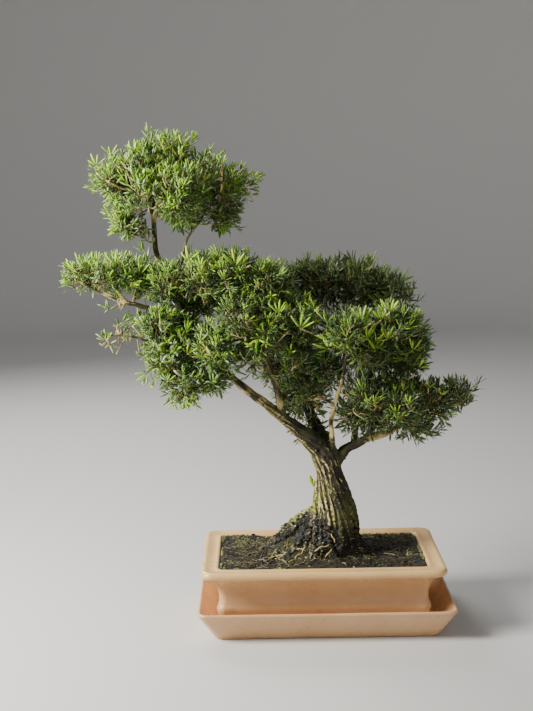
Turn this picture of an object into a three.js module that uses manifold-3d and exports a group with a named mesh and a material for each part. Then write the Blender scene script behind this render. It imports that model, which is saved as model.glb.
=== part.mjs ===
// A boxwood bonsai with a wind-swept crown, in a glazed rectangular pot on a matching drip tray.
// Millimetres, +Z up, front towards -Y. The origin is on the table, at the middle of the tray's underside.
import * as THREE from "three";
import { mergeVertices } from "three/addons/utils/BufferGeometryUtils.js";
import Module from "manifold-3d";

const wasm = await Module();
wasm.setup();

// Driving dimensions of the pottery
const CLEARANCE = 0.35;
const CORNER_STEPS = 3;
const TRAY_HALF_LENGTH = 189.5;
const TRAY_HALF_DEPTH = 125;
const TRAY_CORNER_RADIUS = 13;
const TRAY_CORNER_TIGHTENING = 0.1;
const POT_CENTRE_X = -4;
const POT_HALF_LENGTH = 180;
const POT_HALF_DEPTH = 115;
const POT_CORNER_RADIUS = 18;
const POT_CORNER_TIGHTENING = 0.28;
const POT_WALL_INSET = 28;
const FOOT_HEIGHT = 5.5;
const FOOT_LENGTH = 42;
const FOOT_DEPTH = 32;
const DRAIN_HOLE_RADIUS = 9;
const DRAIN_HOLE_OFFSET = 75;
const DRAIN_HOLE_SIDES = 12;
const DRILL_LENGTH = 30;
const DRILL_DROP = 5;
const SCREEN_SIZE = 44;
const SCREEN_THICKNESS = 1.2;
const SCREEN_OPENING = 9;
const SCREEN_PITCH = 12.5;
const SCREEN_OPENINGS_EACH_WAY = 3;

// Profiles as [inset from the lip's outermost line, height], from the underside, over the lip and down
const TRAY_OUTSIDE = [[26.5, 0], [24.4, 1.6], [1.6, 39.5], [0, 41.8], [0.3, 44.2], [2.2, 45.4]];
const TRAY_INSIDE = [[4.4, 44.6], [5.4, 42], [31.3, 8], [34.5, 6.5]];
const POT_FOOT_LEVEL = 6.5 + CLEARANCE;
const POT_OUTSIDE = [
  [31, POT_FOOT_LEVEL], [29.2, 8.8], [22.8, 35], [21.6, 42], [24.4, 49.5], [25.3, 57],
  [24.4, 67], [20.9, 77], [14.4, 85.4], [7.2, 90.6], [2.4, 93.2], [0.2, 97.2], [0, 99], [0.8, 101.6],
  [2.8, 103.4], [5, 104],
];
const POT_RIM = [[9, 103.4], [13, 102.6], [16, 102.4], [20, 102.8], [23.6, 103.2]];
const POT_INSIDE = [[25.4, 101.9], [27, 97], [33, 60], [34.5, 28], [38, 21], [44, 20]];
const POT_FLOOR_LEVEL = 20;

// Driving dimensions of the soil and the tree's foot
const SOIL_LEVEL = 101.6;
const SOIL_RINGS = [0.92, 0.76, 0.56, 0.32];
const MOUND_HEIGHT = 15;
const MOUND_CENTRE = new THREE.Vector2(0, 2);
const MOUND_RADIUS = 92;
const TRUNK_SIDES = 17;
const TRUNK_RIDGES = 7;
const FLUTE_DEPTH = 0.1;
const LOBE_DEPTH = 0.05;
const TRUNK_TWIST_PER_MM = 0.0085;
const SEGMENTS_PER_POINT = 0.75;

// Trunk sections as [x, y, z, radius], from the root ball up to the fork
const TRUNK = [
  [0, 0, 78, 34], [0, 0, 90, 46], [0, 0, 104, 51], [3, 0, 126, 45.5], [9, 0, 150, 37.5],
  [14, 0, 168, 33.5], [14, 0, 187, 29.5], [12, 0, 207, 24.5], [9, 0, 226, 19.5], [6, 0, 243, 21],
  [0, 0, 258, 20.5], [-7, 1, 271, 12], [-10, 1, 277, 5],
];

// Surface roots as [direction in degrees, reach, radius at the trunk, height on the trunk]
const ROOTS = [
  [182, 100, 16, 160], [216, 80, 14, 152], [250, 66, 13, 147], [284, 62, 14, 148], [320, 66, 13, 144],
  [353, 74, 14, 148], [32, 72, 13, 142], [70, 70, 12, 142], [108, 72, 12, 142], [146, 84, 14, 148],
];

// Along a root, as shares of its [reach, rise, radius]; its tip dives into the soil
const ROOT_STATIONS = [[0.1, 1, 0.9], [0.4, 0.66, 1], [0.62, 0.3, 0.84], [0.82, 0.08, 0.62], [1, 0, 0.4]];
const ROOT_DIVE = 7;
const ROOT_SIDES = 5;

// Branches as routes of [x, y, z, radius]; each ends inside the spray that it carries
const BRANCHES = {
  leader: [
    [9, 0, 238, 17], [-10, -1, 268, 15.5], [-34, -4, 290, 10.6], [-60, -6, 312, 8.2],
    [-91, -8, 338, 6.6], [-119, -8, 360, 5.8], [-141, -6, 379, 5.4], [-165, -2, 406, 5.2],
    [-186, 4, 442, 5], [-210, 8, 485, 4.8], [-231, 6, 529, 4.5], [-244, 2, 562, 4.2],
    [-246, 0, 598, 3.8], [-245, 0, 640, 3.2],
  ],
  crownLeft: [[-246, 0, 616, 3], [-256, -4, 631, 2.7], [-270, -8, 644, 2.5], [-286, -11, 660, 2.2]],
  crownRight: [
    [-221, 7, 506, 3.5], [-208, 5, 540, 3.3], [-201, 2, 571, 3], [-195, 0, 586, 2.8],
    [-179, 0, 607, 2.6], [-165, 1, 630, 2.4],
  ],
  crownFront: [[-246, 0, 606, 3], [-240, -26, 624, 2.6], [-214, -56, 645, 2.2]],
  crownBack: [[-246, 0, 612, 3], [-238, 26, 630, 2.6], [-218, 58, 656, 2.2]],
  leftArm: [
    [-192, 5, 452, 4.4], [-206, 4, 464, 4.2], [-233, 0, 473, 4], [-262, -8, 482, 3.8],
    [-287, -12, 489, 3.5], [-310, -14, 498, 3.2], [-330, -14, 508, 2.9], [-352, -13, 518, 2.6],
    [-366, -12, 525, 2.3], [-362, -12, 540, 2],
  ],
  leftArmRiser: [[-280, -11, 487, 2.8], [-276, -8, 505, 2.5], [-275, -6, 528, 2.2]],
  lowLeftTwig: [
    [-170, 0, 413, 3.8], [-190, -12, 420, 3.2], [-214, -25, 421, 2.9], [-244, -35, 430, 2.6],
    [-268, -40, 439, 2.4], [-292, -44, 444, 2.2], [-314, -46, 446, 2],
  ],
  lowerLeftTop: [[-178, 2, 428, 3.6], [-200, -12, 440, 3], [-226, -24, 452, 2.4]],
  lowerLeftBottom: [[-139, -6, 378, 3.8], [-164, -18, 385, 3.2], [-198, -33, 387, 2.6]],
  lowerLeftInner: [[-148, -5, 386, 3.6], [-153, -34, 408, 3], [-156, -56, 428, 2.4]],
  lowerLeftBack: [[-156, -4, 396, 3.8], [-178, 18, 406, 3.2], [-198, 36, 415, 2.6]],
  upperMiddleLeft: [[-216, 8, 498, 3.4], [-214, -10, 510, 3], [-211, -26, 521, 2.4]],
  upperMiddleBack: [[-202, 8, 470, 3.8], [-186, 28, 490, 3.2], [-166, 42, 512, 2.6]],
  second: [
    [-58, -6, 309, 6.5], [-65, -12, 340, 5.2], [-70, -20, 362, 4.6], [-77, -28, 382, 4.2],
    [-88, -38, 414, 3.8], [-99, -50, 440, 3.2],
  ],
  secondBack: [
    [-84, -34, 402, 3.6], [-90, -14, 440, 3.4], [-106, -10, 480, 3.1], [-125, -24, 510, 2.8],
    [-141, -38, 528, 2.4],
  ],
  rear: [
    [12, 6, 242, 14], [-4, 18, 284, 9], [-20, 30, 318, 7.2], [-27, 40, 352, 6.2], [-25, 48, 400, 5.4],
    [-12, 54, 450, 4.8], [8, 58, 494, 4.2], [28, 60, 512, 3.4],
  ],
  innerBack: [[-18, 28, 314, 4], [-25, 56, 330, 3.4], [-30, 88, 345, 2.8]],
  inner: [[-23, 35, 332, 3.8], [-16, 6, 358, 3.2], [-8, -16, 384, 2.6]],
  pale: [
    [16, -2, 252, 5], [13, -14, 290, 3.6], [12, -20, 310, 3.4], [16, -22, 325, 3.2], [18, -27, 338, 3],
    [25, -42, 366, 2.7], [32, -58, 405, 2.4], [37, -71, 440, 2.2],
  ],
  paleFork: [[17, -25, 333, 2.8], [7, -32, 341, 2.4], [-4, -36, 346, 2], [-17, -38, 344, 1.5]],
  right: [
    [20, 2, 242, 10], [37, 2, 261, 6.6], [52, 0, 269, 5.8], [67, -2, 277, 5.4], [92, -6, 284, 4.8],
    [124, -8, 302, 4], [158, -10, 328, 3.2],
  ],
  rightRiser: [[46, 1, 266, 5.4], [52, 9, 300, 4.8], [60, 5, 350, 4.2], [72, -8, 402, 3.4]],
  rightBack: [[59, 6, 345, 4], [68, 22, 378, 3.4], [80, 34, 402, 2.8]],
  lowerRight: [[68, -2, 278, 4.4], [76, -20, 310, 3.8], [88, -44, 344, 3]],
  lowerRightBack: [[60, 0, 273, 4.4], [85, 28, 294, 3.8], [121, 66, 322, 3]],
};

// Leafy sprays: each is a few overlapping lumps of dense twigs, as [centre, half sizes]
const SPRAYS = {
  foliage_crown: [
    [[-296, -8, 673], [36, 42, 31]], [[-258, -18, 688], [36, 42, 34]], [[-222, 5, 690], [44, 50, 37]],
    [[-176, -8, 672], [42, 46, 36]], [[-142, 2, 660], [36, 42, 34]], [[-149, 4, 627], [30, 36, 28]],
    [[-206, -56, 652], [46, 42, 40]], [[-251, -50, 656], [38, 38, 33]], [[-205, 60, 655], [56, 44, 44]],
    [[-266, 46, 668], [42, 40, 36]], [[-287, -12, 640], [24, 28, 27]], [[-200, 2, 630], [42, 46, 32]],
    [[-276, -16, 611], [26, 26, 24]],
  ],
  foliage_left_arm: [
    [[-352, -12, 534], [27, 26, 17]], [[-322, -12, 534], [33, 34, 22]], [[-290, -10, 535], [34, 40, 27]],
    [[-266, -4, 528], [28, 38, 27]],
  ],
  foliage_low_left_twig: [[[-312, -46, 446], [17, 18, 15]], [[-294, -44, 450], [18, 18, 14]]],
  foliage_upper_middle: [
    [[-216, -22, 526], [36, 42, 30]], [[-176, -32, 533], [40, 44, 34]], [[-127, -28, 534], [43, 46, 37]],
    [[-82, -36, 520], [38, 44, 33]], [[-200, 28, 512], [48, 48, 36]], [[-144, 32, 517], [58, 50, 40]],
    [[-84, 28, 507], [44, 46, 35]],
  ],
  foliage_lower_left: [
    [[-236, -30, 460], [32, 38, 27]], [[-203, -25, 438], [36, 42, 36]], [[-230, -35, 410], [32, 38, 31]],
    [[-205, -35, 375], [36, 42, 31]], [[-168, -38, 384], [30, 34, 28]], [[-158, -55, 428], [34, 34, 34]],
    [[-208, 26, 416], [50, 46, 48]],
  ],
  foliage_middle: [
    [[-119, -60, 475], [34, 38, 30]], [[-82, -52, 450], [38, 42, 36]], [[-40, -45, 466], [38, 42, 32]],
    [[-103, -48, 421], [32, 38, 26]], [[-38, -40, 426], [32, 36, 30]], [[-72, 12, 432], [56, 54, 42]],
    [[-62, -8, 392], [36, 38, 26]],
  ],
  foliage_upper_right: [
    [[-22, 46, 522], [34, 42, 24]], [[12, 54, 521], [42, 48, 26]], [[56, 60, 515], [46, 50, 27]],
    [[97, 57, 503], [36, 44, 24]], [[124, 54, 493], [22, 30, 17]],
    [[20, 54, 494], [52, 34, 18]], [[76, 58, 488], [34, 34, 16]],
  ],
  foliage_right: [
    [[29, -70, 450], [36, 38, 28]], [[66, -60, 436], [38, 40, 36]], [[106, -45, 456], [38, 42, 32]],
    [[133, -32, 428], [24, 32, 30]], [[80, 2, 420], [58, 58, 42]],
    [[126, 10, 400], [28, 36, 24]],
  ],
  foliage_inner: [[[4, -20, 392], [32, 36, 30]], [[-24, -22, 366], [28, 28, 24]]],
  foliage_inner_back: [[[-31, 84, 336], [46, 38, 36]]],
  foliage_lower_right: [
    [[66, -42, 353], [38, 40, 31]], [[112, -48, 338], [40, 42, 32]], [[160, -15, 339], [42, 44, 32]],
    [[198, -8, 346], [26, 28, 20]], [[140, 6, 308], [40, 42, 28]], [[118, 44, 332], [52, 50, 38]],
    [[52, -24, 328], [34, 28, 26]], [[100, -20, 316], [40, 32, 26]],
  ],
};

// Blades are larger than life, so that fewer of them cover a spray
const BLADE_LENGTH = 38;
const BLADE_WIDTH = 19;
const BLADE_KEEL = 2.4;
const BLADE_WIDEST = 0.62;
const BLADE_DEEPEST = 0.55;
const BLADE_SINK = 9;
const BLADE_SPREAD = 1.1;
const BLADE_LIFT = 0.25;
const BLADE_ROLL = 1.4;
const BLADE_TRIES = 5;
const AREA_PER_BLADE = 1460;
const FEWEST_BLADES = 8;
const BLADE_SEED = 411;
const CORE_SHARE = 0.82;
const CORE_BULGE = 1.08;
const CORE_ROUGHNESS = 0.24;
const CORE_ROOM_SCALE = 1.02;
const CORE_ROOM_MARGIN = 1;
const BLADE_ROOT_DEPTH = 0.9;
const UNDERSIDE_SLOPE = -0.35;
const UNDERSIDE_BARE_SHARE = 0.5;

const COLOURS = {
  glaze: new THREE.MeshStandardMaterial({ color: 0xdcb591, roughness: 0.32, metalness: 0 }),
  screen: new THREE.MeshStandardMaterial({ color: 0x2a2a2a, roughness: 0.6, metalness: 0 }),
  soil: new THREE.MeshStandardMaterial({ color: 0x2b261b, roughness: 0.95, metalness: 0 }),
  bark: new THREE.MeshStandardMaterial({ color: 0x8c7d55, roughness: 0.85, metalness: 0 }),
  leaf: new THREE.MeshStandardMaterial({ color: 0x4f7a22, roughness: 0.45, metalness: 0 }),
};

// Small tools: random numbers, closed geometry to solid and back
function seededRandom(seed) {
  let state = seed >>> 0;
  return () => {
    state = (state + 0x6d2b79f5) >>> 0;
    let mixed = Math.imul(state ^ (state >>> 15), 1 | state);
    mixed = (mixed + Math.imul(mixed ^ (mixed >>> 7), 61 | mixed)) ^ mixed;
    return ((mixed ^ (mixed >>> 14)) >>> 0) / 4294967296;
  };
}

function solidFrom(geometry) {
  const bare = new THREE.BufferGeometry();
  bare.setAttribute("position", geometry.getAttribute("position").clone());
  bare.setIndex(geometry.getIndex());
  const merged = mergeVertices(bare, 1e-4);
  const vertProperties = new Float32Array(merged.getAttribute("position").array);
  const triVerts = new Uint32Array(merged.getIndex().array);
  return new wasm.Manifold(new wasm.Mesh({ numProp: 3, vertProperties, triVerts }));
}

function largestBody(solid) {
  const bodies = solid.decompose();
  return bodies.reduce((best, body) => (body.volume() > best.volume() ? body : best));
}

function namedMesh(name, solid, material) {
  const data = solid.getMesh();
  const geometry = new THREE.BufferGeometry();
  geometry.setAttribute("position", new THREE.BufferAttribute(new Float32Array(data.vertProperties), 3));
  geometry.setIndex(new THREE.BufferAttribute(new Uint32Array(data.triVerts), 1));
  geometry.computeVertexNormals();
  const mesh = new THREE.Mesh(geometry, material);
  mesh.name = name;
  return mesh;
}

// A closed body through rings of points that run anticlockwise about the way of travel, capped at both ends
function loft(rings) {
  const count = rings[0].length;
  const points = rings.flat();
  const faces = [];
  for (let row = 0; row + 1 < rings.length; row += 1) {
    for (let step = 0; step < count; step += 1) {
      const next = (step + 1) % count;
      const low = row * count;
      const high = low + count;
      faces.push(low + step, low + next, high + next, low + step, high + next, high + step);
    }
  }
  const lastRow = (rings.length - 1) * count;
  const startCentre = points.push(centreOf(rings[0])) - 1;
  const endCentre = points.push(centreOf(rings[rings.length - 1])) - 1;
  for (let step = 0; step < count; step += 1) {
    const next = (step + 1) % count;
    faces.push(startCentre, next, step, endCentre, lastRow + step, lastRow + next);
  }
  const geometry = new THREE.BufferGeometry().setFromPoints(points);
  geometry.setIndex(faces);
  return solidFrom(geometry);
}

function centreOf(ring) {
  const centre = new THREE.Vector3();
  ring.forEach((point) => centre.add(point));
  return centre.divideScalar(ring.length);
}

// A level ring in the shape of a rectangle with round corners
function roundedRing(halfLength, halfDepth, radius, height, centreX = 0) {
  const corners = [[1, 1, 0], [-1, 1, 90], [-1, -1, 180], [1, -1, 270]];
  const ring = [];
  for (const [signX, signY, startAngle] of corners) {
    for (let step = 0; step <= CORNER_STEPS; step += 1) {
      const angle = THREE.MathUtils.degToRad(startAngle + (90 * step) / CORNER_STEPS);
      const x = centreX + signX * (halfLength - radius) + radius * Math.cos(angle);
      const y = signY * (halfDepth - radius) + radius * Math.sin(angle);
      ring.push(new THREE.Vector3(x, y, height));
    }
  }
  return ring;
}

// Pottery: one closed skin that goes up the outside, over the lip and down the inside
function trayRings() {
  return [...TRAY_OUTSIDE, ...TRAY_INSIDE].map(([inset, height]) => {
    const radius = TRAY_CORNER_RADIUS - inset * TRAY_CORNER_TIGHTENING;
    return roundedRing(TRAY_HALF_LENGTH - inset, TRAY_HALF_DEPTH - inset, radius, height);
  });
}

function potRing(inset, height) {
  const radius = POT_CORNER_RADIUS - Math.min(inset, POT_WALL_INSET) * POT_CORNER_TIGHTENING;
  return roundedRing(POT_HALF_LENGTH - inset, POT_HALF_DEPTH - inset, radius, height, POT_CENTRE_X);
}

function boxSolid(sizeX, sizeY, sizeZ, x, y, z) {
  return solidFrom(new THREE.BoxGeometry(sizeX, sizeY, sizeZ).translate(x, y, z));
}

function makePot() {
  const profile = [...POT_OUTSIDE, ...POT_RIM, ...POT_INSIDE];
  let pot = loft(profile.map(([inset, height]) => potRing(inset, height)));
  const soleInset = POT_OUTSIDE[0][0];
  const gapAcross = 2 * (POT_HALF_DEPTH - soleInset - FOOT_DEPTH);
  const gapAlong = 2 * (POT_HALF_LENGTH - soleInset - FOOT_LENGTH);
  const channelTop = POT_FOOT_LEVEL + FOOT_HEIGHT;
  const channelZ = channelTop / 2;
  pot = pot.subtract(boxSolid(2 * POT_HALF_LENGTH, gapAcross, channelTop, POT_CENTRE_X, 0, channelZ));
  pot = pot.subtract(boxSolid(gapAlong, 2 * POT_HALF_DEPTH, channelTop, POT_CENTRE_X, 0, channelZ));
  for (const side of [-1, 1]) {
    const x = POT_CENTRE_X + side * DRAIN_HOLE_OFFSET;
    const z = POT_FLOOR_LEVEL - DRILL_DROP;
    const radius = DRAIN_HOLE_RADIUS;
    const drill = new THREE.CylinderGeometry(radius, radius, DRILL_LENGTH, DRAIN_HOLE_SIDES);
    drill.rotateX(Math.PI / 2).translate(x, 0, z);
    pot = pot.subtract(solidFrom(drill));
  }
  return pot;
}

function makeScreen(centreX) {
  const z = POT_FLOOR_LEVEL + CLEARANCE + SCREEN_THICKNESS / 2;
  const middle = (SCREEN_OPENINGS_EACH_WAY - 1) / 2;
  let screen = boxSolid(SCREEN_SIZE, SCREEN_SIZE, SCREEN_THICKNESS, centreX, 0, z);
  for (let row = 0; row < SCREEN_OPENINGS_EACH_WAY; row += 1) {
    for (let column = 0; column < SCREEN_OPENINGS_EACH_WAY; column += 1) {
      const x = centreX + (column - middle) * SCREEN_PITCH;
      const y = (row - middle) * SCREEN_PITCH;
      screen = screen.subtract(boxSolid(SCREEN_OPENING, SCREEN_OPENING, 2 * SCREEN_THICKNESS, x, y, z));
    }
  }
  return screen;
}

// Soil: fills the pot's inside, with a rough top that rises in a mound at the tree's foot
function soilHeight(x, y) {
  const away = Math.hypot(x - MOUND_CENTRE.x, y - MOUND_CENTRE.y) / MOUND_RADIUS;
  const mound = MOUND_HEIGHT * Math.max(0, 1 - away * away) ** 2;
  const ripple = 1.1 * Math.sin(x * 0.11 + y * 0.07) + 0.9 * Math.sin(x * 0.047 - y * 0.13 + 1.3);
  return SOIL_LEVEL + mound + ripple * Math.min(1, mound / 4 + 0.6);
}

function makeSoil(treeFoot) {
  const wall = POT_INSIDE.filter(([, height]) => height < SOIL_LEVEL - 2).reverse();
  const rings = wall.map(([inset, height]) => potRing(inset + CLEARANCE + 0.1, height + CLEARANCE + 0.05));
  const rimInset = POT_INSIDE[1][0] - 0.6;
  const top = (scale) => potRing(rimInset, SOIL_LEVEL).map((point) => {
    const x = POT_CENTRE_X + (point.x - POT_CENTRE_X) * scale;
    const y = point.y * scale;
    return new THREE.Vector3(x, y, scale === 1 ? SOIL_LEVEL - 1 : soilHeight(x, y));
  });
  rings.push(top(1), ...SOIL_RINGS.map(top));
  let soil = loft(rings).subtract(treeFoot);
  for (const side of [-1, 1]) {
    const room = SCREEN_SIZE + 2 * CLEARANCE;
    const roof = POT_FLOOR_LEVEL + SCREEN_THICKNESS + 2 * CLEARANCE;
    soil = soil.subtract(boxSolid(room, room, 10, POT_CENTRE_X + side * DRAIN_HOLE_OFFSET, 0, roof - 5));
  }
  return largestBody(soil);
}

// Wood: a fluted trunk, tapering roots and branches; growth makes the room they need in their neighbours
function trunkSolid(growth) {
  return loft(TRUNK.map(([x, y, z, radius], index) => {
    const height = index === 0 ? z - growth : z;
    return Array.from({ length: TRUNK_SIDES }, (_, side) => {
      const angle = (2 * Math.PI * side) / TRUNK_SIDES;
      const turned = angle + z * TRUNK_TWIST_PER_MM;
      const flute = FLUTE_DEPTH * Math.cos(TRUNK_RIDGES * turned) + LOBE_DEPTH * Math.cos(3 * turned + 1);
      const reach = radius * (1 + flute) + growth;
      return new THREE.Vector3(x + reach * Math.cos(angle), y + reach * Math.sin(angle), height);
    });
  }));
}

function tubeSolid(route, sides, growth) {
  const curve = new THREE.CatmullRomCurve3(route.map(([x, y, z]) => new THREE.Vector3(x, y, z)));
  const segments = Math.max(3, Math.round(SEGMENTS_PER_POINT * (route.length - 1)));
  const frames = curve.computeFrenetFrames(segments, false);
  const rings = [];
  for (let segment = 0; segment <= segments; segment += 1) {
    const along = segment / segments;
    const place = curve.getUtoTmapping(along) * (route.length - 1);
    const before = Math.min(Math.floor(place), route.length - 2);
    const radius = THREE.MathUtils.lerp(route[before][3], route[before + 1][3], place - before) + growth;
    const centre = curve.getPointAt(along);
    if (segment === segments) centre.addScaledVector(frames.tangents[segment], growth);
    rings.push(Array.from({ length: sides }, (_, side) => {
      const angle = (2 * Math.PI * side) / sides;
      const point = centre.clone();
      point.addScaledVector(frames.normals[segment], radius * Math.cos(angle));
      return point.addScaledVector(frames.binormals[segment], radius * Math.sin(angle));
    }));
  }
  return loft(rings);
}

function rootRoute([degrees, reach, radius, startHeight]) {
  const angle = THREE.MathUtils.degToRad(degrees);
  const rise = startHeight - SOIL_LEVEL;
  return ROOT_STATIONS.map(([share, lift, thickness]) => {
    const away = reach * share;
    const z = SOIL_LEVEL + rise * lift - (share === 1 ? ROOT_DIVE : 0);
    return [away * Math.cos(angle), away * Math.sin(angle), z, radius * thickness];
  });
}

function branchSides(startRadius) {
  if (startRadius > 6) return 7;
  return startRadius >= 3.9 ? 5 : 4;
}

function woodSolid(growth) {
  const parts = [trunkSolid(growth)];
  for (const root of ROOTS) parts.push(tubeSolid(rootRoute(root), ROOT_SIDES, growth));
  for (const route of Object.values(BRANCHES)) {
    parts.push(tubeSolid(route, branchSides(route[0][3]), growth));
  }
  return wasm.Manifold.union(parts);
}

// Foliage: rough cores with blades that stand out of them
function lumpSolid([centre, halfSizes], random) {
  const ball = new THREE.IcosahedronGeometry(CORE_BULGE, 0);
  ball.deleteAttribute("normal");
  ball.deleteAttribute("uv");
  const lump = mergeVertices(ball, 1e-4);
  const position = lump.getAttribute("position");
  for (let index = 0; index < position.count; index += 1) {
    const swell = 1 + CORE_ROUGHNESS * (2 * random() - 1);
    const x = centre[0] + halfSizes[0] * CORE_SHARE * swell * position.getX(index);
    const y = centre[1] + halfSizes[1] * CORE_SHARE * swell * position.getY(index);
    const z = centre[2] + halfSizes[2] * CORE_SHARE * swell * position.getZ(index);
    position.setXYZ(index, x, y, z);
  }
  return solidFrom(lump);
}

// One blade: widest beyond the middle, flat above and keeled below; growth makes the room that it needs
function bladeSolid({ base, along, across, up, size }, growth) {
  const length = BLADE_LENGTH * size + growth;
  const halfWidth = (BLADE_WIDTH * size) / 2 + growth;
  const at = (forward, sideways, lift) => base.clone()
    .addScaledVector(along, forward)
    .addScaledVector(across, sideways)
    .addScaledVector(up, lift);
  const points = [
    at(-BLADE_SINK, 0, 0),
    at(length * BLADE_WIDEST, halfWidth, growth),
    at(length * BLADE_WIDEST, -halfWidth, growth),
    at(length, 0, growth),
    at(length * BLADE_DEEPEST, 0, -BLADE_KEEL - growth),
  ];
  const [root, left, right, tip, keel] = [0, 1, 2, 3, 4];
  const upperFaces = [root, right, left, left, right, tip];
  const lowerFaces = [root, left, keel, root, keel, right, keel, left, tip, keel, tip, right];
  const geometry = new THREE.BufferGeometry().setFromPoints(points);
  geometry.setIndex([...upperFaces, ...lowerFaces]);
  return solidFrom(geometry);
}

function insideCore(point, [centre, halfSizes]) {
  const x = (point.x - centre[0]) / halfSizes[0];
  const y = (point.y - centre[1]) / halfSizes[1];
  const z = (point.z - centre[2]) / halfSizes[2];
  return Math.hypot(x, y, z) < CORE_SHARE;
}

// Blade roots on a lump, spread evenly by the golden angle: none inside another core, few on the underside
function bladeRoots(lump, otherLumps, random) {
  const [centre, halfSizes] = lump;
  const [a, b, c] = halfSizes;
  const area = 4 * Math.PI * (((a * b) ** 1.6 + (a * c) ** 1.6 + (b * c) ** 1.6) / 3) ** (1 / 1.6);
  const count = Math.max(FEWEST_BLADES, Math.round(area / AREA_PER_BLADE));
  const size = Math.min(1, 0.45 + c / 55);
  const roots = [];
  for (let index = 0; index < count; index += 1) {
    const rise = 1 - (2 * (index + 0.5)) / count;
    const turn = index * Math.PI * (3 - Math.sqrt(5)) + random() * 0.5;
    const level = Math.sqrt(1 - rise * rise);
    const direction = new THREE.Vector3(level * Math.cos(turn), level * Math.sin(turn), rise);
    const surface = new THREE.Vector3(a * direction.x, b * direction.y, c * direction.z);
    const base = surface.multiplyScalar(CORE_SHARE * BLADE_ROOT_DEPTH).add(new THREE.Vector3(...centre));
    const normal = new THREE.Vector3(direction.x / a, direction.y / b, direction.z / c).normalize();
    const isHidden = otherLumps.some((other) => insideCore(base, other));
    const isBareUnderside = normal.z < UNDERSIDE_SLOPE && random() < UNDERSIDE_BARE_SHARE;
    if (!isHidden && !isBareUnderside) roots.push({ base, normal, size });
  }
  return roots;
}

// A blade that leans outward and up from its root, with its broad side outward
function leaningBlade({ base, normal, size }, random) {
  const anyWay = new THREE.Vector3(random() - 0.5, random() - 0.5, random() - 0.35);
  const sideways = anyWay.cross(normal).normalize();
  const along = normal.clone().addScaledVector(sideways, BLADE_SPREAD * random());
  along.z += BLADE_LIFT;
  along.normalize();
  const across = normal.clone().cross(along);
  if (across.length() < 0.05) across.set(-along.y, along.x, 0.1);
  across.normalize().applyAxisAngle(along, (random() - 0.5) * BLADE_ROLL);
  const up = along.clone().cross(across);
  return { base, along, across, up, size: size * (0.85 + 0.3 * random()) };
}

function boxesMeet(first, second) {
  const meetAlong = (axis) => first.min[axis] < second.max[axis] && second.min[axis] < first.max[axis];
  return [0, 1, 2].every(meetAlong);
}

// A core's room is its smooth shape a little grown, so that it clears the rough core of an earlier spray
function makeCores(random) {
  const cores = [];
  let taken = null;
  for (const lumps of Object.values(SPRAYS)) {
    let core = wasm.Manifold.union(lumps.map((lump) => lumpSolid(lump, random)));
    if (taken) core = core.subtract(taken);
    core = largestBody(core);
    cores.push(core);
    const rooms = lumps.map(([centre, halfSizes]) => {
      return [centre, halfSizes.map((size) => size * CORE_ROOM_SCALE + CORE_ROOM_MARGIN)];
    });
    const room = wasm.Manifold.union(rooms.map((lump) => lumpSolid(lump, () => 1)));
    taken = taken ? taken.add(room) : room;
  }
  return cores;
}

function makeSprays(woodRoom) {
  const random = seededRandom(BLADE_SEED);
  const cores = makeCores(random);
  const allLumps = Object.values(SPRAYS).flat();
  const finished = [];
  Object.values(SPRAYS).forEach((lumps, index) => {
    const obstacles = [woodRoom, ...finished, ...cores.slice(index + 1)];
    const blades = [];
    const isClear = (room) => [...obstacles, ...blades]
      .filter((obstacle) => boxesMeet(obstacle.boundingBox(), room.boundingBox()))
      .every((obstacle) => obstacle.intersect(room).isEmpty());
    for (const lump of lumps) {
      const otherLumps = allLumps.filter((other) => other !== lump);
      for (const root of bladeRoots(lump, otherLumps, random)) {
        const blade = Array.from({ length: BLADE_TRIES }, () => leaningBlade(root, random))
          .find((candidate) => isClear(bladeSolid(candidate, CLEARANCE)));
        if (blade) blades.push(bladeSolid(blade, 0));
      }
    }
    finished.push(largestBody(wasm.Manifold.union([cores[index], ...blades]).subtract(woodRoom)));
  });
  return Object.keys(SPRAYS).map((name, index) => namedMesh(name, finished[index], COLOURS.leaf));
}

const woodRoom = woodSolid(CLEARANCE);
const bonsai = new THREE.Group();
bonsai.add(namedMesh("drip_tray", loft(trayRings()), COLOURS.glaze));
bonsai.add(namedMesh("pot", makePot(), COLOURS.glaze));
bonsai.add(namedMesh("drain_screen_left", makeScreen(POT_CENTRE_X - DRAIN_HOLE_OFFSET), COLOURS.screen));
bonsai.add(namedMesh("drain_screen_right", makeScreen(POT_CENTRE_X + DRAIN_HOLE_OFFSET), COLOURS.screen));
bonsai.add(namedMesh("soil_bed", makeSoil(woodRoom), COLOURS.soil));
bonsai.add(namedMesh("tree_wood", woodSolid(0), COLOURS.bark));
bonsai.add(...makeSprays(woodRoom));

export default bonsai;
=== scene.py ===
"""A boxwood bonsai in a glazed pot on a drip tray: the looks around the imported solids, in millimetres."""
import math

import bpy
import numpy as np
from mathutils import Matrix, Vector


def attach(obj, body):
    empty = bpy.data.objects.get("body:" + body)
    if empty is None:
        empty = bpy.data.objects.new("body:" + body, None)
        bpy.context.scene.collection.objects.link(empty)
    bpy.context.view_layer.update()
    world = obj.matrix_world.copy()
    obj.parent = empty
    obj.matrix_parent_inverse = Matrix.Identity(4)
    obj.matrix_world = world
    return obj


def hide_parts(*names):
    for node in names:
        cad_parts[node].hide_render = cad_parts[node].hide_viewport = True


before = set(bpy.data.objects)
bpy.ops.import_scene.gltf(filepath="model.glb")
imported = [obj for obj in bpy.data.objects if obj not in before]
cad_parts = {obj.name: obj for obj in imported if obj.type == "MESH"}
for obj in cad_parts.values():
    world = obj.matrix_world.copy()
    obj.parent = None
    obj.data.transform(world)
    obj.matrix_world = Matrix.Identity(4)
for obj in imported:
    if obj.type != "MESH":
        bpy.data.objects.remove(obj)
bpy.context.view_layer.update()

MM = 0.001

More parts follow.
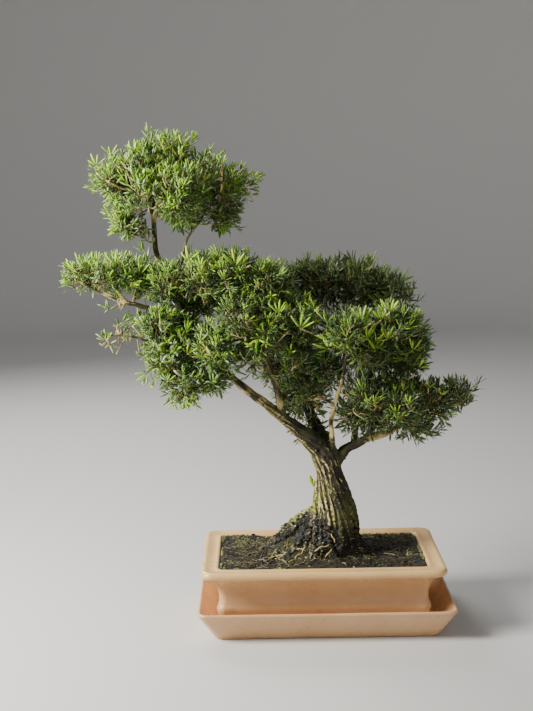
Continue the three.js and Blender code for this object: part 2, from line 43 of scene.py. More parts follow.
# Camera, fitted to the photograph
CAMERA_PLACE = (-91.5, -1924.0, 695.0)
CAMERA_DOWN = math.radians(8.56)
CAMERA_TURN = math.radians(0.25)
CAMERA_ROLL = math.radians(0.84)
FOCAL_PIXELS = 1300.0
LONG_SIDE_PIXELS = 711
SENSOR = 36.0
CLIP_START, CLIP_END = 0.05, 50

# Pottery, the same numbers as the solids; profiles are (inset from the lip's outermost line, height)
TRAY_HALF_LENGTH, TRAY_HALF_DEPTH, TRAY_CORNER, TRAY_CORNER_TIGHTENING = 189.5, 125.0, 13.0, 0.1
POT_CENTRE_X, POT_HALF_LENGTH, POT_HALF_DEPTH = -4.0, 180.0, 115.0
POT_CORNER, POT_CORNER_TIGHTENING, POT_WALL_INSET = 18.0, 0.28, 28
TRAY_PROFILE = [
    (26.5, 0), (25.6, 0.5), (24.4, 1.6), (20.8, 7.5), (12.7, 21), (4.8, 34.2), (1.6, 39.5), (0.3, 41.2),
    (0, 42.8), (0.5, 44.4), (1.7, 45.3), (3.1, 45.3), (4.4, 44.3), (5.2, 42.6), (6.4, 40.5), (12, 32.8),
    (22, 20), (29, 10.6), (31.6, 8), (34.5, 6.5),
]
POT_PROFILE = [
    (31, 6.85), (30, 7.2), (29.2, 8.8), (27.4, 17), (25, 27), (22.8, 35), (21.8, 39), (21.6, 42),
    (22.6, 45.5), (24.4, 49.5), (25.3, 55), (25.2, 61), (24.4, 67), (23, 72), (20.9, 77), (18, 81.5),
    (14.4, 85.4), (10.6, 88.4), (7.2, 90.6), (4.6, 91.9), (2.4, 93.2), (1.0, 95), (0.2, 97.2), (0, 98.8),
    (0.3, 100.6), (1.2, 102.2), (2.8, 103.5), (5, 104), (7.4, 103.7), (10, 103.1), (13, 102.6), (16, 102.4),
    (19, 102.6), (21.6, 103.1), (23.6, 103.2), (24.9, 102.5), (25.6, 101), (27, 97), (30, 78), (33, 60),
    (34.5, 28), (38, 21), (44, 20),
]
PROFILE_STEPS = 2
# Panels sunk between the pot's corner columns: over which heights, how deep and how far from the corners
PANEL_OUTER_ROWS, PANEL_WALL_INSET = 60, 34
PANEL_LOW, PANEL_HIGH, PANEL_DEPTH = 10, 88, 2.4
PANEL_FOOT, PANEL_FOOT_DEPTH = 52, 1.5
SOIL_LEVEL = 101.6


# Numbers
def rise(value, start, width):
    """0 up to the start, then evenly up to 1 over the width; a negative width runs the other way."""
    return np.clip((value - start) / width, 0, 1)


def unit(rows):
    return rows / np.maximum(np.linalg.norm(rows, axis=-1, keepdims=True), 1e-9)


def full_turn(count):
    """Angles spread evenly over a full turn."""
    return 2 * np.pi * np.arange(count) / count


def steps_between(points):
    return np.linalg.norm(np.diff(points[:, :3], axis=0), axis=1)


def running_sum(steps):
    return np.concatenate([[0], np.cumsum(steps)])


def picked(keep, *columns):
    return [column[keep] for column in columns]


def smooth_noise(points, seed):
    """Value noise in -1..1 at each of the points, one unit to a cell."""
    cell = np.floor(points).astype(np.int64)
    part = points - cell
    ease = part * part * (3 - 2 * part)
    total = np.zeros(len(points))
    for corner in np.ndindex(2, 2, 2):
        x, y, z = (cell + corner).T
        mixed = (x * 73856093) ^ (y * 19349663) ^ (z * 83492791) ^ (seed * 40503)
        mixed = ((mixed & 0xFFFFFFFF) ^ 61) * 9 & 0xFFFFFFFF
        mixed = (mixed ^ (mixed >> 15)) * 668265261 & 0xFFFFFFFF
        mixed = (mixed ^ (mixed >> 13)) * 2246822519 & 0xFFFFFFFF
        mixed = mixed ^ (mixed >> 16)
        share = np.prod(np.where(corner, ease, 1 - ease), axis=1)
        total += share * (mixed / 2147483647.5 - 1)
    return total


def layered_noise(points, cell_size, seed, layers):
    total = np.zeros(len(points))
    for layer in range(layers):
        total += smooth_noise(points / cell_size * 2**layer, seed + layer) / 2**layer
    return total


def spline(points, steps):
    """Catmull-Rom through points, with the given number of steps in each span."""
    points = np.asarray(points, float)
    padded = np.vstack([2 * points[0] - points[1], points, 2 * points[-1] - points[-2]])
    out = []
    for index in range(len(points) - 1):
        a, b, c, d = padded[index:index + 4]
        for step in range(steps):
            t = step / steps
            square, cube = 2 * a - 5 * b + 4 * c - d, 3 * b - a - 3 * c + d
            out.append(0.5 * (2 * b + (c - a) * t + square * t**2 + cube * t**3))
    return np.array(out + [points[-1]])


# Pieces
def tone_rows(red, green=0.0, blue=0.0):
    """A colour for each point that its material reads as three numbers."""
    return np.stack(np.broadcast_arrays(red, green, blue, 1.0), -1)


def even_tones(piece, red, green):
    return np.tile([red, green, 0, 1], (len(piece[0]), 1))


def add_piece(name, points, faces, material, slot, replaced, tones=None):
    """A piece from points in millimetres that rides the body and stands for the replaced nodes."""
    mesh = bpy.data.meshes.new(name)
    mesh.from_pydata(points * MM, [], faces.tolist() if isinstance(faces, np.ndarray) else faces)
    mesh.update()
    if tones is not None:
        layer = mesh.attributes.new("tone", "FLOAT_COLOR", "POINT")
        layer.data.foreach_set("color", np.asarray(tones, np.float32).ravel())
    mesh.materials.append(material)
    mesh.shade_smooth()
    piece = bpy.data.objects.new(name, mesh)
    bpy.context.scene.collection.objects.link(piece)
    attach(piece, "root")
    if replaced:
        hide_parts(*replaced)
    return piece


def loft_faces(rows, count):
    """Faces of a closed skin over rows of points, with a cap at each end."""
    here = np.arange((rows - 1) * count)
    beside = here + 1 - count * (here % count == count - 1)
    faces = np.stack([here, beside, beside + count, here + count], 1).tolist()
    last = (rows - 1) * count
    return faces + [list(range(count))[::-1], list(range(last, last + count))]


def merged(pieces):
    """Several (points, faces) as one."""
    points, faces, start = [], [], 0
    for piece_points, piece_faces in pieces:
        points.append(piece_points)
        faces += [[corner + start for corner in face] for face in piece_faces]
        start += len(piece_points)
    return np.concatenate(points), faces


# Materials
class Shader:
    """A principled material, with short names for the nodes that feed it."""

    def __init__(self, name, settings):
        self.material = bpy.data.materials.new(name)
        self.material.use_nodes = True
        self.tree = self.material.node_tree
        self.surface = self.tree.nodes["Principled BSDF"]
        for key, value in settings.items():
            self.surface.inputs[key].default_value = value

    def node(self, kind, inputs, output=0, **settings):
        """A node whose inputs are sockets, numbers or colours; returns one of its outputs."""
        made = self.tree.nodes.new("ShaderNode" + kind)
        for key, value in settings.items():
            setattr(made, key, value)
        for key, value in inputs.items():
            if isinstance(value, bpy.types.NodeSocket):
                self.tree.links.new(value, made.inputs[key])
            else:
                made.inputs[key].default_value = (*value, 1) if isinstance(value, tuple) else value
        return made.outputs[output]

    def place(self):
        return self.node("TexCoord", {}, "Object")

    def noise(self, size_mm, detail, rough=0.55):
        inputs = {"Vector": self.place(), "Scale": 1000.0 / size_mm, "Detail": detail, "Roughness": rough}
        return self.node("TexNoise", inputs, "Fac")

    def ramp(self, value, stops):
        """Colours by value; a bare number stands for a grey."""
        output = self.node("ValToRGB", {"Fac": value}, "Color")
        elements = output.node.color_ramp.elements
        while len(elements) < len(stops):
            elements.new(0.5)
        for element, (place, colour) in zip(elements, stops):
            element.position = place
            element.color = (*(colour if isinstance(colour, tuple) else (colour,) * 3), 1)
        return output

    def mask(self, value, low, high):
        return self.ramp(value, [(low, 0), (high, 1)])

    def mix(self, share, first, second):
        return self.node("Mix", {0: share, 6: first, 7: second}, 2, data_type="RGBA")

    def math(self, kind, first, second):
        return self.node("Math", {0: first, 1: second}, operation=kind)

    def times(self, first, second):
        return self.math("MULTIPLY", first, second)

    def jitter(self, value, noise, amount):
        """The value moved up and down by the noise."""
        return self.math("ADD", value, self.times(self.math("SUBTRACT", noise, 0.5), amount))

    def tone(self):
        """The three numbers that each point carries."""
        colour = self.node("Attribute", {}, "Color", attribute_name="tone")
        return self.node("SeparateColor", {"Color": colour}).node.outputs[:3]

    def bump(self, height, distance_mm, strength, under=None):
        inputs = {"Strength": strength, "Distance": distance_mm * MM, "Height": height}
        if under is not None:
            inputs["Normal"] = under
        return self.node("Bump", inputs)

    def finish(self, colour, normal, roughness=None):
        for key, value in (("Base Color", colour), ("Normal", normal), ("Roughness", roughness)):
            if value is not None:
                self.tree.links.new(value, self.surface.inputs[key])
        return self.material


def glaze_material():
    """Cream on the pot's rim and peach elsewhere, with faint clouds, specks and waves."""
    shader = Shader("glaze", {
        "Roughness": 0.28, "Specular IOR Level": 0.5, "Coat Weight": 0.35, "Coat Roughness": 0.16})
    cloud = shader.noise(90, 3)
    body = shader.ramp(cloud, [
        (0.30, (0.60, 0.34, 0.155)), (0.55, (0.65, 0.39, 0.19)), (0.78, (0.69, 0.44, 0.235))])
    cream = shader.ramp(cloud, [
        (0.30, (0.69, 0.415, 0.15)), (0.55, (0.73, 0.46, 0.18)), (0.78, (0.77, 0.51, 0.225))])
    height = shader.node("SeparateXYZ", {"Vector": shader.place()}, "Z")
    wavy = shader.jitter(height, shader.noise(24, 3), 0.008)
    rim = shader.node("MapRange", {"Value": wavy, "From Min": 0.088, "From Max": 0.097}, "Result")
    colour = shader.mix(rim, body, cream)
    fine = shader.mask(shader.noise(4, 4), 0.45, 0.7)
    colour = shader.mix(shader.times(fine, 0.08), colour, (0.80, 0.57, 0.30))
    cells = shader.node("TexVoronoi", {"Vector": shader.place(), "Scale": 62.5}, "Distance")
    rare = shader.mask(shader.noise(23, 1), 0.60, 0.64)
    specks = shader.times(shader.math("LESS_THAN", cells, 0.045), rare)
    colour = shader.mix(specks, colour, (0.20, 0.11, 0.06))
    rough = shader.ramp(shader.noise(30, 3), [(0.3, 0.22), (0.7, 0.40)])
    normal = shader.bump(shader.noise(5, 2), 0.12, 0.5)
    normal = shader.bump(shader.noise(38, 2), 0.9, 0.5, under=normal)
    return shader.finish(colour, normal, rough)


def bark_material():
    """Red: height of the relief, lowered by painted shade. Green: moss. Blue: the dark root mat."""
    shader = Shader("bark", {"Roughness": 0.8})
    relief, moss, dark = shader.tone()
    # Crests pale and crevices almost black: partly the bark's own colour, partly painted highlight on the
    # crests and painted shade in the crevices
    pale = shader.ramp(shader.noise(12, 4), [
        (0.3, (0.43, 0.31, 0.10)), (0.5, (0.78, 0.62, 0.24)), (0.72, (1.0, 0.87, 0.46))])
    deep = shader.ramp(shader.noise(7, 3), [(0.35, (0.012, 0.010, 0.006)), (0.65, (0.045, 0.036, 0.018))])
    fine = shader.noise(1.5, 5)
    lit = shader.mask(shader.jitter(relief, fine, 0.55), 0.52, 0.80)
    colour = shader.mix(lit, deep, pale)
    algae = shader.times(shader.mask(shader.noise(30, 4), 0.44, 0.60), 0.34)
    colour = shader.mix(algae, colour, (0.17, 0.185, 0.04))
    peat = shader.ramp(shader.noise(3.4, 4, 0.68), [
        (0.40, 0.005), (0.55, (0.014, 0.015, 0.012)), (0.63, (0.050, 0.050, 0.034)),
        (0.70, (0.42, 0.38, 0.25))])
    colour = shader.mix(dark, colour, peat)
    green = shader.ramp(shader.noise(4.5, 5, 0.6), [
        (0.38, (0.035, 0.045, 0.006)), (0.50, (0.17, 0.20, 0.02)), (0.64, (0.56, 0.57, 0.10))])
    spread = shader.jitter(moss, shader.noise(5, 5), 1.1)
    colour = shader.mix(shader.mask(spread, 0.26, 0.50), colour, green)
    normal = shader.bump(shader.noise(4, 3), 1.0, 0.8, under=shader.bump(fine, 0.6, 0.9))
    return shader.finish(colour, normal)


def leaf_material():
    """Red: tint, whose top values give a painted sheen. Green: how fresh, lowered as painted shade deep in a
    pad and on the shaded pads. Blue: the midrib.
    """
    shader = Shader("leaf", {
        "Roughness": 0.42, "Specular IOR Level": 0.26, "Subsurface Weight": 0.25,
        "Subsurface Radius": (0.6, 1.0, 0.25), "Subsurface Scale": 0.006})
    tint, fresh, rib = shader.tone()
    colour = shader.ramp(fresh, [
        (0.0, (0.024, 0.040, 0.022)), (0.3, (0.044, 0.088, 0.032)), (0.52, (0.088, 0.19, 0.036)),
        (0.78, (0.20, 0.43, 0.022)), (1.0, (0.44, 0.70, 0.045))])
    colour = shader.mix(shader.times(tint, 0.14), colour, (0.14, 0.19, 0.04))
    # Painted sheen: a share of leaves is painted whitish grey-green, standing for glints on glossy leaves
    painted_sheen = shader.times(shader.math("GREATER_THAN", tint, (PLAIN_TINT + PAINTED_SHEEN_TINT) / 2), 0.72)
    colour = shader.mix(painted_sheen, colour, (0.50, 0.57, 0.47))
    yellow = shader.math("GREATER_THAN", tint, (PAINTED_SHEEN_TINT + YELLOW_TINT) / 2)
    colour = shader.mix(yellow, colour, (0.62, 0.42, 0.03))
    mottle = shader.noise(5, 3)
    colour = shader.mix(shader.times(shader.mask(mottle, 0.4, 0.7), 0.10), colour, (0.18, 0.32, 0.045))
    colour = shader.mix(shader.times(shader.mask(rib, 0.80, 0.97), 0.20), colour, (0.36, 0.48, 0.10))
    rough = shader.ramp(mottle, [(0.3, 0.30), (0.7, 0.46)])
    return shader.finish(colour, shader.bump(shader.noise(2.2, 3), 0.25, 0.6), rough)


def soil_material():
    """Red: from black earth to pale chips. Green: how mossy."""
    shader = Shader("soil", {"Roughness": 0.95})
    pale, mossy, _ = shader.tone()
    grain = shader.noise(2.4, 5)
    colour = shader.ramp(shader.math("ADD", shader.times(grain, 0.5), shader.times(pale, 0.62)), [
        (0.24, (0.006, 0.005, 0.004)), (0.46, (0.016, 0.014, 0.010)), (0.60, (0.050, 0.038, 0.021)),
        (0.74, (0.18, 0.137, 0.067)), (0.90, (0.56, 0.48, 0.32))])
    olive = shader.times(shader.mask(shader.noise(34, 4), 0.50, 0.66), 0.40)
    moss = shader.ramp(grain, [(0.35, (0.016, 0.018, 0.006)), (0.68, (0.078, 0.072, 0.022))])
    fresh = shader.ramp(pale, [(0.3, (0.075, 0.066, 0.017)), (0.8, (0.33, 0.29, 0.085))])
    colour = shader.mix(shader.times(mossy, 0.70), shader.mix(olive, colour, moss), fresh)
    return shader.finish(colour, shader.bump(grain, 1.2, 0.9))


def moss_material():
    """Red: from dark to bright."""
    shader = Shader("moss", {"Roughness": 0.9, "Sheen Weight": 0.3})
    grain = shader.noise(0.9, 4)
    colour = shader.ramp(shader.math("ADD", shader.times(shader.tone()[0], 0.45), shader.times(grain, 0.6)), [
        (0.25, (0.02, 0.035, 0.006)), (0.5, (0.075, 0.105, 0.018)), (0.72, (0.20, 0.24, 0.045)),
        (0.9, (0.36, 0.38, 0.10))])
    return shader.finish(colour, shader.bump(grain, 0.8, 1.0))


def screen_material():
    """Black plastic mesh, dusted with earth."""
    shader = Shader("screen_plastic", {})
    dust = shader.mask(shader.noise(6, 4), 0.42, 0.68)
    colour = shader.mix(dust, (0.022, 0.022, 0.024), (0.10, 0.075, 0.045))
    rough = shader.ramp(dust, [(0.0, 0.42), (1.0, 0.85)])
    return shader.finish(colour, shader.bump(shader.noise(1.2, 3), 0.15, 0.6), rough)


# Pottery
def ring(half_length, half_depth, radius, height, centre_x, sides=(26, 16), corner=10):
    """Points round a rectangle with round corners, and how far each lies from the nearest corner's arc."""
    points, away = [], []
    signs = [(1, 1), (-1, 1), (-1, -1), (1, -1)]
    middles = [(centre_x + x * (half_length - radius), y * (half_depth - radius)) for x, y in signs]
    for index, (x, y) in enumerate(middles):
        start = 90 * index
        for step in range(corner + 1):
            angle = math.radians(start + 90 * step / corner)
            points.append((x + radius * math.cos(angle), y + radius * math.sin(angle), height))
            away.append(0.0)
        next_x, next_y = middles[(index + 1) % 4]
        length = math.dist((x, y), (next_x, next_y))
        count = sides[index % 2]
        for share in (step / count for step in range(1, count)):
            points.append((
                x + (next_x - x) * share + radius * math.cos(angle),
                y + (next_y - y) * share + radius * math.sin(angle), height))
            away.append(length * min(share, 1 - share))
    return np.array(points), np.array(away)


def inward(points, centre_x, half_length, half_depth, depth):
    """Moves points of a ring inward by depth, on the straight sides only."""
    moved = points.copy()
    on_long = np.abs(np.abs(points[:, 1]) - half_depth) < 1e-6
    moved[on_long, 1] -= np.sign(points[on_long, 1]) * depth[on_long]
    on_short = np.abs(np.abs(points[:, 0] - centre_x) - half_length) < 1e-6
    moved[on_short, 0] -= np.sign(points[on_short, 0] - centre_x) * depth[on_short]
    return moved


def add_pottery(name, rows, waves, node, material):
    """A lofted skin whose upper part waves a little, as fired clay does."""
    points = np.concatenate(rows)
    height, foot, cell_size, seed = waves
    points[:, 2] += height * rise(points[:, 2], foot, 40) * layered_noise(points, cell_size, seed, 2)
    add_piece(name, points, loft_faces(len(rows), len(rows[0])), material, "glaze", [node])


def make_tray(material):
    rows = []
    for inset, height in spline(TRAY_PROFILE, PROFILE_STEPS):
        radius = TRAY_CORNER - inset * TRAY_CORNER_TIGHTENING
        rows.append(ring(TRAY_HALF_LENGTH - inset, TRAY_HALF_DEPTH - inset, radius, height, 0)[0])
    add_pottery("tray_glazed", rows, (0.35, 0, 70, 5), "drip_tray", material)


def make_pot(material):
    rows = []
    for inset, height in spline(POT_PROFILE, PROFILE_STEPS):
        radius = POT_CORNER - min(inset, POT_WALL_INSET) * POT_CORNER_TIGHTENING
        half_length, half_depth = POT_HALF_LENGTH - inset, POT_HALF_DEPTH - inset
        points, away = ring(half_length, half_depth, radius, height, POT_CENTRE_X)
        if inset < PANEL_WALL_INSET and len(rows) < PANEL_OUTER_ROWS:
            on_wall = rise(height, PANEL_LOW, 10) * rise(height, PANEL_HIGH, -8)
            depth = PANEL_DEPTH + PANEL_FOOT_DEPTH * rise(height, PANEL_FOOT, -10)
            edge = rise(away, 2, 7)
            sink = depth * on_wall * edge**2 * (3 - 2 * edge)
            points = inward(points, POT_CENTRE_X, half_length, half_depth, sink)
        rows.append(points)
    add_pottery("pot_glazed", rows, (0.4, 60, 80, 9), "pot", material)


# Trunk, roots and branches: the same routes as the solids, as (x, y, z, radius)
TRUNK = [
    (0, 0, 78, 34), (0, 0, 90, 46), (0, 0, 104, 51), (3, 0, 126, 45.5), (9, 0, 150, 37.5),
    (14, 0, 168, 33.5), (14, 0, 187, 29.5), (12, 0, 207, 24.5), (9, 0, 226, 19.5), (6, 0, 243, 21),
    (0, 0, 258, 20.5), (-7, 1, 271, 12), (-10, 1, 277, 5),
]
TRUNK_TWIST_PER_MM = 0.0085
TRUNK_SIDES, TRUNK_CORDS, CORDS_FROM = 40, 31, 96
# Surface roots: direction in degrees, reach, radius at the trunk, and height on the trunk
ROOTS = [
    (182, 100, 16, 160), (216, 80, 14, 152), (250, 66, 13, 147), (284, 62, 14, 148), (320, 66, 13, 144),
    (353, 74, 14, 148), (32, 72, 13, 142), (70, 70, 12, 142), (108, 72, 12, 142), (146, 84, 14, 148),
]
# Stations along each root, as shares of its reach, rise and radius
ROOT_STATIONS = [(0.1, 1, 0.9), (0.4, 0.66, 1), (0.62, 0.3, 0.84), (0.82, 0.08, 0.62), (1, 0, 0.4)]
ROOT_DIVE = 7
# The mound of fine roots between the big ones
MOUND_COVER, MOUND_BOTTOM = 0.74, 94
MOUND_SIDES, MOUND_ROWS, MOUND_OUT, MOUND_IN = 72, 14, 0.97, 0.15
BRANCHES = {
    "leader": [
        (9, 0, 238, 17), (-10, -1, 268, 15.5), (-34, -4, 290, 10.6), (-60, -6, 312, 8.2),
        (-91, -8, 338, 6.6), (-119, -8, 360, 5.8), (-141, -6, 379, 5.4), (-165, -2, 406, 5.2),
        (-186, 4, 442, 5), (-210, 8, 485, 4.8), (-231, 6, 529, 4.5), (-244, 2, 562, 4.2),
        (-246, 0, 598, 3.8), (-245, 0, 640, 3.2),
    ],
    "crown_left": [(-246, 0, 616, 3), (-256, -4, 631, 2.7), (-270, -8, 644, 2.5), (-286, -11, 660, 2.2)],
    "crown_right": [
        (-221, 7, 506, 3.5), (-208, 5, 540, 3.3), (-201, 2, 571, 3), (-195, 0, 586, 2.8),
        (-179, 0, 607, 2.6), (-165, 1, 630, 2.4),
    ],
    "crown_front": [(-246, 0, 606, 3), (-240, -26, 624, 2.6), (-214, -56, 645, 2.2)],
    "crown_back": [(-246, 0, 612, 3), (-238, 26, 630, 2.6), (-218, 58, 656, 2.2)],
    "left_arm": [
        (-192, 5, 452, 4.4), (-206, 4, 464, 4.2), (-233, 0, 473, 4), (-262, -8, 482, 3.8),
        (-287, -12, 489, 3.5), (-310, -14, 498, 3.2), (-330, -14, 508, 2.9), (-352, -13, 518, 2.6),
        (-366, -12, 525, 2.3), (-362, -12, 540, 2),
    ],
    "left_arm_riser": [(-280, -11, 487, 2.8), (-276, -8, 505, 2.5), (-275, -6, 528, 2.2)],
    "low_left_twig": [
        (-170, 0, 413, 3.8), (-190, -12, 420, 3.2), (-214, -25, 421, 2.9), (-244, -35, 430, 2.6),
        (-268, -40, 439, 2.4), (-292, -44, 444, 2.2), (-314, -46, 446, 2),
    ],
    "lower_left_top": [(-178, 2, 428, 3.6), (-200, -12, 440, 3), (-226, -24, 452, 2.4)],
    "lower_left_bottom": [(-139, -6, 378, 3.8), (-164, -18, 385, 3.2), (-198, -33, 387, 2.6)],
    "lower_left_inner": [(-148, -5, 386, 3.6), (-153, -34, 408, 3), (-156, -56, 428, 2.4)],
    "lower_left_back": [(-156, -4, 396, 3.8), (-178, 18, 406, 3.2), (-198, 36, 415, 2.6)],
    "upper_middle_left": [(-216, 8, 498, 3.4), (-214, -10, 510, 3), (-211, -26, 521, 2.4)],
    "upper_middle_back": [(-202, 8, 470, 3.8), (-186, 28, 490, 3.2), (-166, 42, 512, 2.6)],
    "second": [
        (-58, -6, 309, 6.5), (-65, -12, 340, 5.2), (-70, -20, 362, 4.6), (-77, -28, 382, 4.2),
        (-88, -38, 414, 3.8), (-99, -50, 440, 3.2),
    ],
    "second_back": [
        (-84, -34, 402, 3.6), (-90, -14, 440, 3.4), (-106, -10, 480, 3.1), (-125, -24, 510, 2.8),
        (-141, -38, 528, 2.4),
    ],
    "rear": [
        (12, 6, 242, 14), (-4, 18, 284, 9), (-20, 30, 318, 7.2), (-27, 40, 352, 6.2), (-25, 48, 400, 5.4),
        (-12, 54, 450, 4.8), (8, 58, 494, 4.2), (28, 60, 512, 3.4),
    ],
    "inner_back": [(-18, 28, 314, 4), (-25, 56, 330, 3.4), (-30, 88, 345, 2.8)],
    "inner": [(-23, 35, 332, 3.8), (-16, 6, 358, 3.2), (-8, -16, 384, 2.6)],
    "pale": [
        (16, -2, 252, 5), (13, -14, 290, 3.6), (12, -20, 310, 3.4), (16, -22, 325, 3.2), (18, -27, 338, 3),
        (25, -42, 366, 2.7), (32, -58, 405, 2.4), (37, -71, 440, 2.2),
    ],
    "pale_fork": [(17, -25, 333, 2.8), (7, -32, 341, 2.4), (-4, -36, 346, 2), (-17, -38, 344, 1.5)],
    "right": [
        (20, 2, 242, 10), (37, 2, 261, 6.6), (52, 0, 269, 5.8), (67, -2, 277, 5.4), (92, -6, 284, 4.8),
        (124, -8, 302, 4), (158, -10, 328, 3.2),
    ],
    "right_riser": [(46, 1, 266, 5.4), (52, 9, 300, 4.8), (60, 5, 350, 4.2), (72, -8, 402, 3.4)],
    "right_back": [(59, 6, 345, 4), (68, 22, 378, 3.4), (80, 34, 402, 2.8)],
    "lower_right": [(68, -2, 278, 4.4), (76, -20, 310, 3.8), (88, -44, 344, 3)],
    "lower_right_back": [(60, 0, 273, 4.4), (85, 28, 294, 3.8), (121, 66, 322, 3)],
}
# Branches whose first part swells out of the trunk, and how many millimetres of each are fused with it
FUSED = {
    "leader": 150, "second": 22, "rear": 105, "pale": 34, "right": 62, "right_riser": 20, "inner_back": 12,
}
FUSED_SIDES, BRANCH_TWIST = 16, 0.02
# Painted shade: how much darker the bark of shaded branches is painted (the pale branch and its fork get
# paler bark instead), and branches drawn a little slenderer than the solids
SHADED = {
    "rear": 0.3, "right_riser": 0.3, "right_back": 0.3, "inner_back": 0.3, "lower_right_back": 0.3,
    "inner": 0.2, "pale": -0.22, "pale_fork": -0.22,
}
SLENDER = {
    "crown_right": 0.66, "crown_left": 0.75, "low_left_twig": 0.72, "right_riser": 0.8, "rear": 0.85,
}
# The one swelling on the right branch: where, how long and how much thicker, and how much paler its painted
# light makes it
SWELLING_X, SWELLING_LENGTH, SWELLING_GROWTH, SWELLING_PAINTED_LIGHT = 80, 10, 0.28, 0.3
# Knots on the trunk and limbs, as place and size
KNOTS = [
    ((-5, -31, 219), 3.6), ((0, -30, 224), 3.0), ((30, 16, 200), 4.4), ((-16, 22, 180), 4.8),
    ((6, 24, 232), 3.6),
]
# Bare pale roots that stand out of the dark mat, as routes
PALE_ROOTS = [
    [
        (-18, -50, 115, 0.7), (-13, -53, 119, 1.3), (-6, -52, 124, 1.2), (0, -53, 124, 1.0),
        (6, -52, 127, 0.6),
    ],
    [(-1, -57, 109, 0.5), (2, -58, 113, 0.9), (7, -55, 117, 0.9), (9, -56, 121, 0.5)],
    [(9, -45, 142, 0.5), (11, -47, 137, 1.0), (14, -47, 134, 1.0), (14, -49, 129, 0.5)],
    [(-43, -44, 118, 0.5), (-36, -48, 120, 0.8), (-29, -50, 117, 0.5)],
]
ROUTE_STEP = 3
# How far apart the bark's coordinates keep the routes
ROUTE_APART = 900
TRUNK_VOXEL = 1.5
BARK_DEPTH = 1.5
ROOTLETS = 330
FLAKES = 850


def between(first, second, low, high, place):
    return ((high - place) * first + (place - low) * second) / (high - low)


def smooth_route(route, spacing):
    """A centripetal Catmull-Rom through the route, resampled to even steps, and how far along each is."""
    points = np.asarray(route, float)
    padded = np.vstack([2 * points[0] - points[1], points, 2 * points[-1] - points[-2]])
    dense = []
    for index in range(len(points) - 1):
        four = padded[index:index + 4]
        knots = running_sum(steps_between(four) ** 0.5 + 1e-6)
        for place in np.linspace(knots[1], knots[2], 12, endpoint=index == len(points) - 2):
            lines = [between(four[i], four[i + 1], knots[i], knots[i + 1], place) for i in range(3)]
            curves = [between(lines[i], lines[i + 1], knots[i], knots[i + 2], place) for i in range(2)]
            dense.append(between(*curves, knots[1], knots[2], place))
    dense = np.array(dense)
    along = running_sum(steps_between(dense))
    places = np.linspace(0, along[-1], max(3, int(round(along[-1] / spacing)) + 1))
    return np.stack([np.interp(places, along, dense[:, axis]) for axis in range(4)], 1), places


def frames_along(path):
    """Tangent, side and over vectors along a path, carried without twist."""
    tangents = np.gradient(path[:, :3], axis=0)
    tangents /= np.linalg.norm(tangents, axis=1)[:, None]
    helper = np.array([0.0, 1.0, 0.0]) if abs(tangents[0, 1]) < 0.9 else np.array([1.0, 0.0, 0.0])
    side = np.cross(tangents[0], helper)
    sides = []
    for tangent in tangents:
        side = side - tangent * side.dot(tangent)
        side /= np.linalg.norm(side)
        sides.append(side)
    sides = np.array(sides)
    return tangents, sides, np.cross(tangents, sides)


def tube(path, sides, reach=1.0):
    """A closed tube along (x, y, z, radius) rows; reach scales the radius at each ring and side."""
    _, across, over = frames_along(path)
    angles = full_turn(sides)[None, :, None]
    circle = across[:, None] * np.cos(angles) + over[:, None] * np.sin(angles)
    scale = path[:, 3:] * reach * np.ones(sides)
    return (path[:, None, :3] + circle * scale[:, :, None]).reshape(-1, 3), loft_faces(len(path), sides)


def with_radii(path, radii):
    return np.column_stack([path[:, :3], radii])


def root_route(degrees, reach, radius, start_height):
    angle = math.radians(degrees)
    rise_height = start_height - SOIL_LEVEL
    return [
        (reach * share * math.cos(angle), reach * share * math.sin(angle),
         SOIL_LEVEL + rise_height * lift - (ROOT_DIVE if share == 1 else 0), radius * thickness)
        for share, lift, thickness in ROOT_STATIONS
    ]


def around(angles, column):
    """A root value carried smoothly round the trunk, from the roots' own angles."""
    rows = sorted((root[0] % 360, root[column]) for root in ROOTS)
    rows = [(rows[-1][0] - 360, rows[-1][1])] + rows + [(rows[0][0] + 360, rows[0][1])]
    return np.interp(np.degrees(angles) % 360, *zip(*rows))


def root_mound(angles, share, stand=0.0):
    """A place on the mound of fine roots that fills the hollows between the big ones."""
    reach, thick, start = around(angles, 1), around(angles, 2), around(angles, 3)
    shares, lifts, sizes = np.array(ROOT_STATIONS).T
    lift = np.interp(share, shares, lifts)
    size = thick * np.interp(share, shares, sizes)
    height = SOIL_LEVEL + (start - SOIL_LEVEL) * lift + MOUND_COVER * size - 2.0 + stand
    out = reach * share + 0.4 * stand
    return np.stack([out * np.cos(angles), out * np.sin(angles), height], -1)


def cords_on(path, twist, count, low, high, chance):
    """Bark cords that wind along a limb: closed tubes that stand half out of it."""
    _, across, over = frames_along(path)
    along = running_sum(steps_between(path))
    pieces = []
    for cord in range(count):
        first = along[-1] * chance.uniform(*low)
        last = along[-1] * chance.uniform(*high)
        keep = (along >= first) & (along <= last)
        where, girth = along[keep], path[keep, 3]
        sway = chance.uniform(0.03, 0.11) * np.sin(where / chance.uniform(12, 26) + chance.uniform(0, 6))
        start = 2 * np.pi * (cord + chance.uniform(-0.3, 0.3)) / count
        angle = start - where * twist * chance.uniform(0.8, 1.15) + sway
        thick = girth * 2.6 / count * chance.uniform(0.6, 1.4)
        thick = np.clip(thick * (1 + 0.22 * np.sin(where / chance.uniform(8, 17) + cord)), 1.5, 5.5)
        hold = girth * 0.96 - thick * 0.55
        place = path[keep, :3] + across[keep] * (hold * np.cos(angle))[:, None]
        place = place + over[keep] * (hold * np.sin(angle))[:, None]
        pieces.append(tube(with_radii(place, thick), 8))
    return pieces


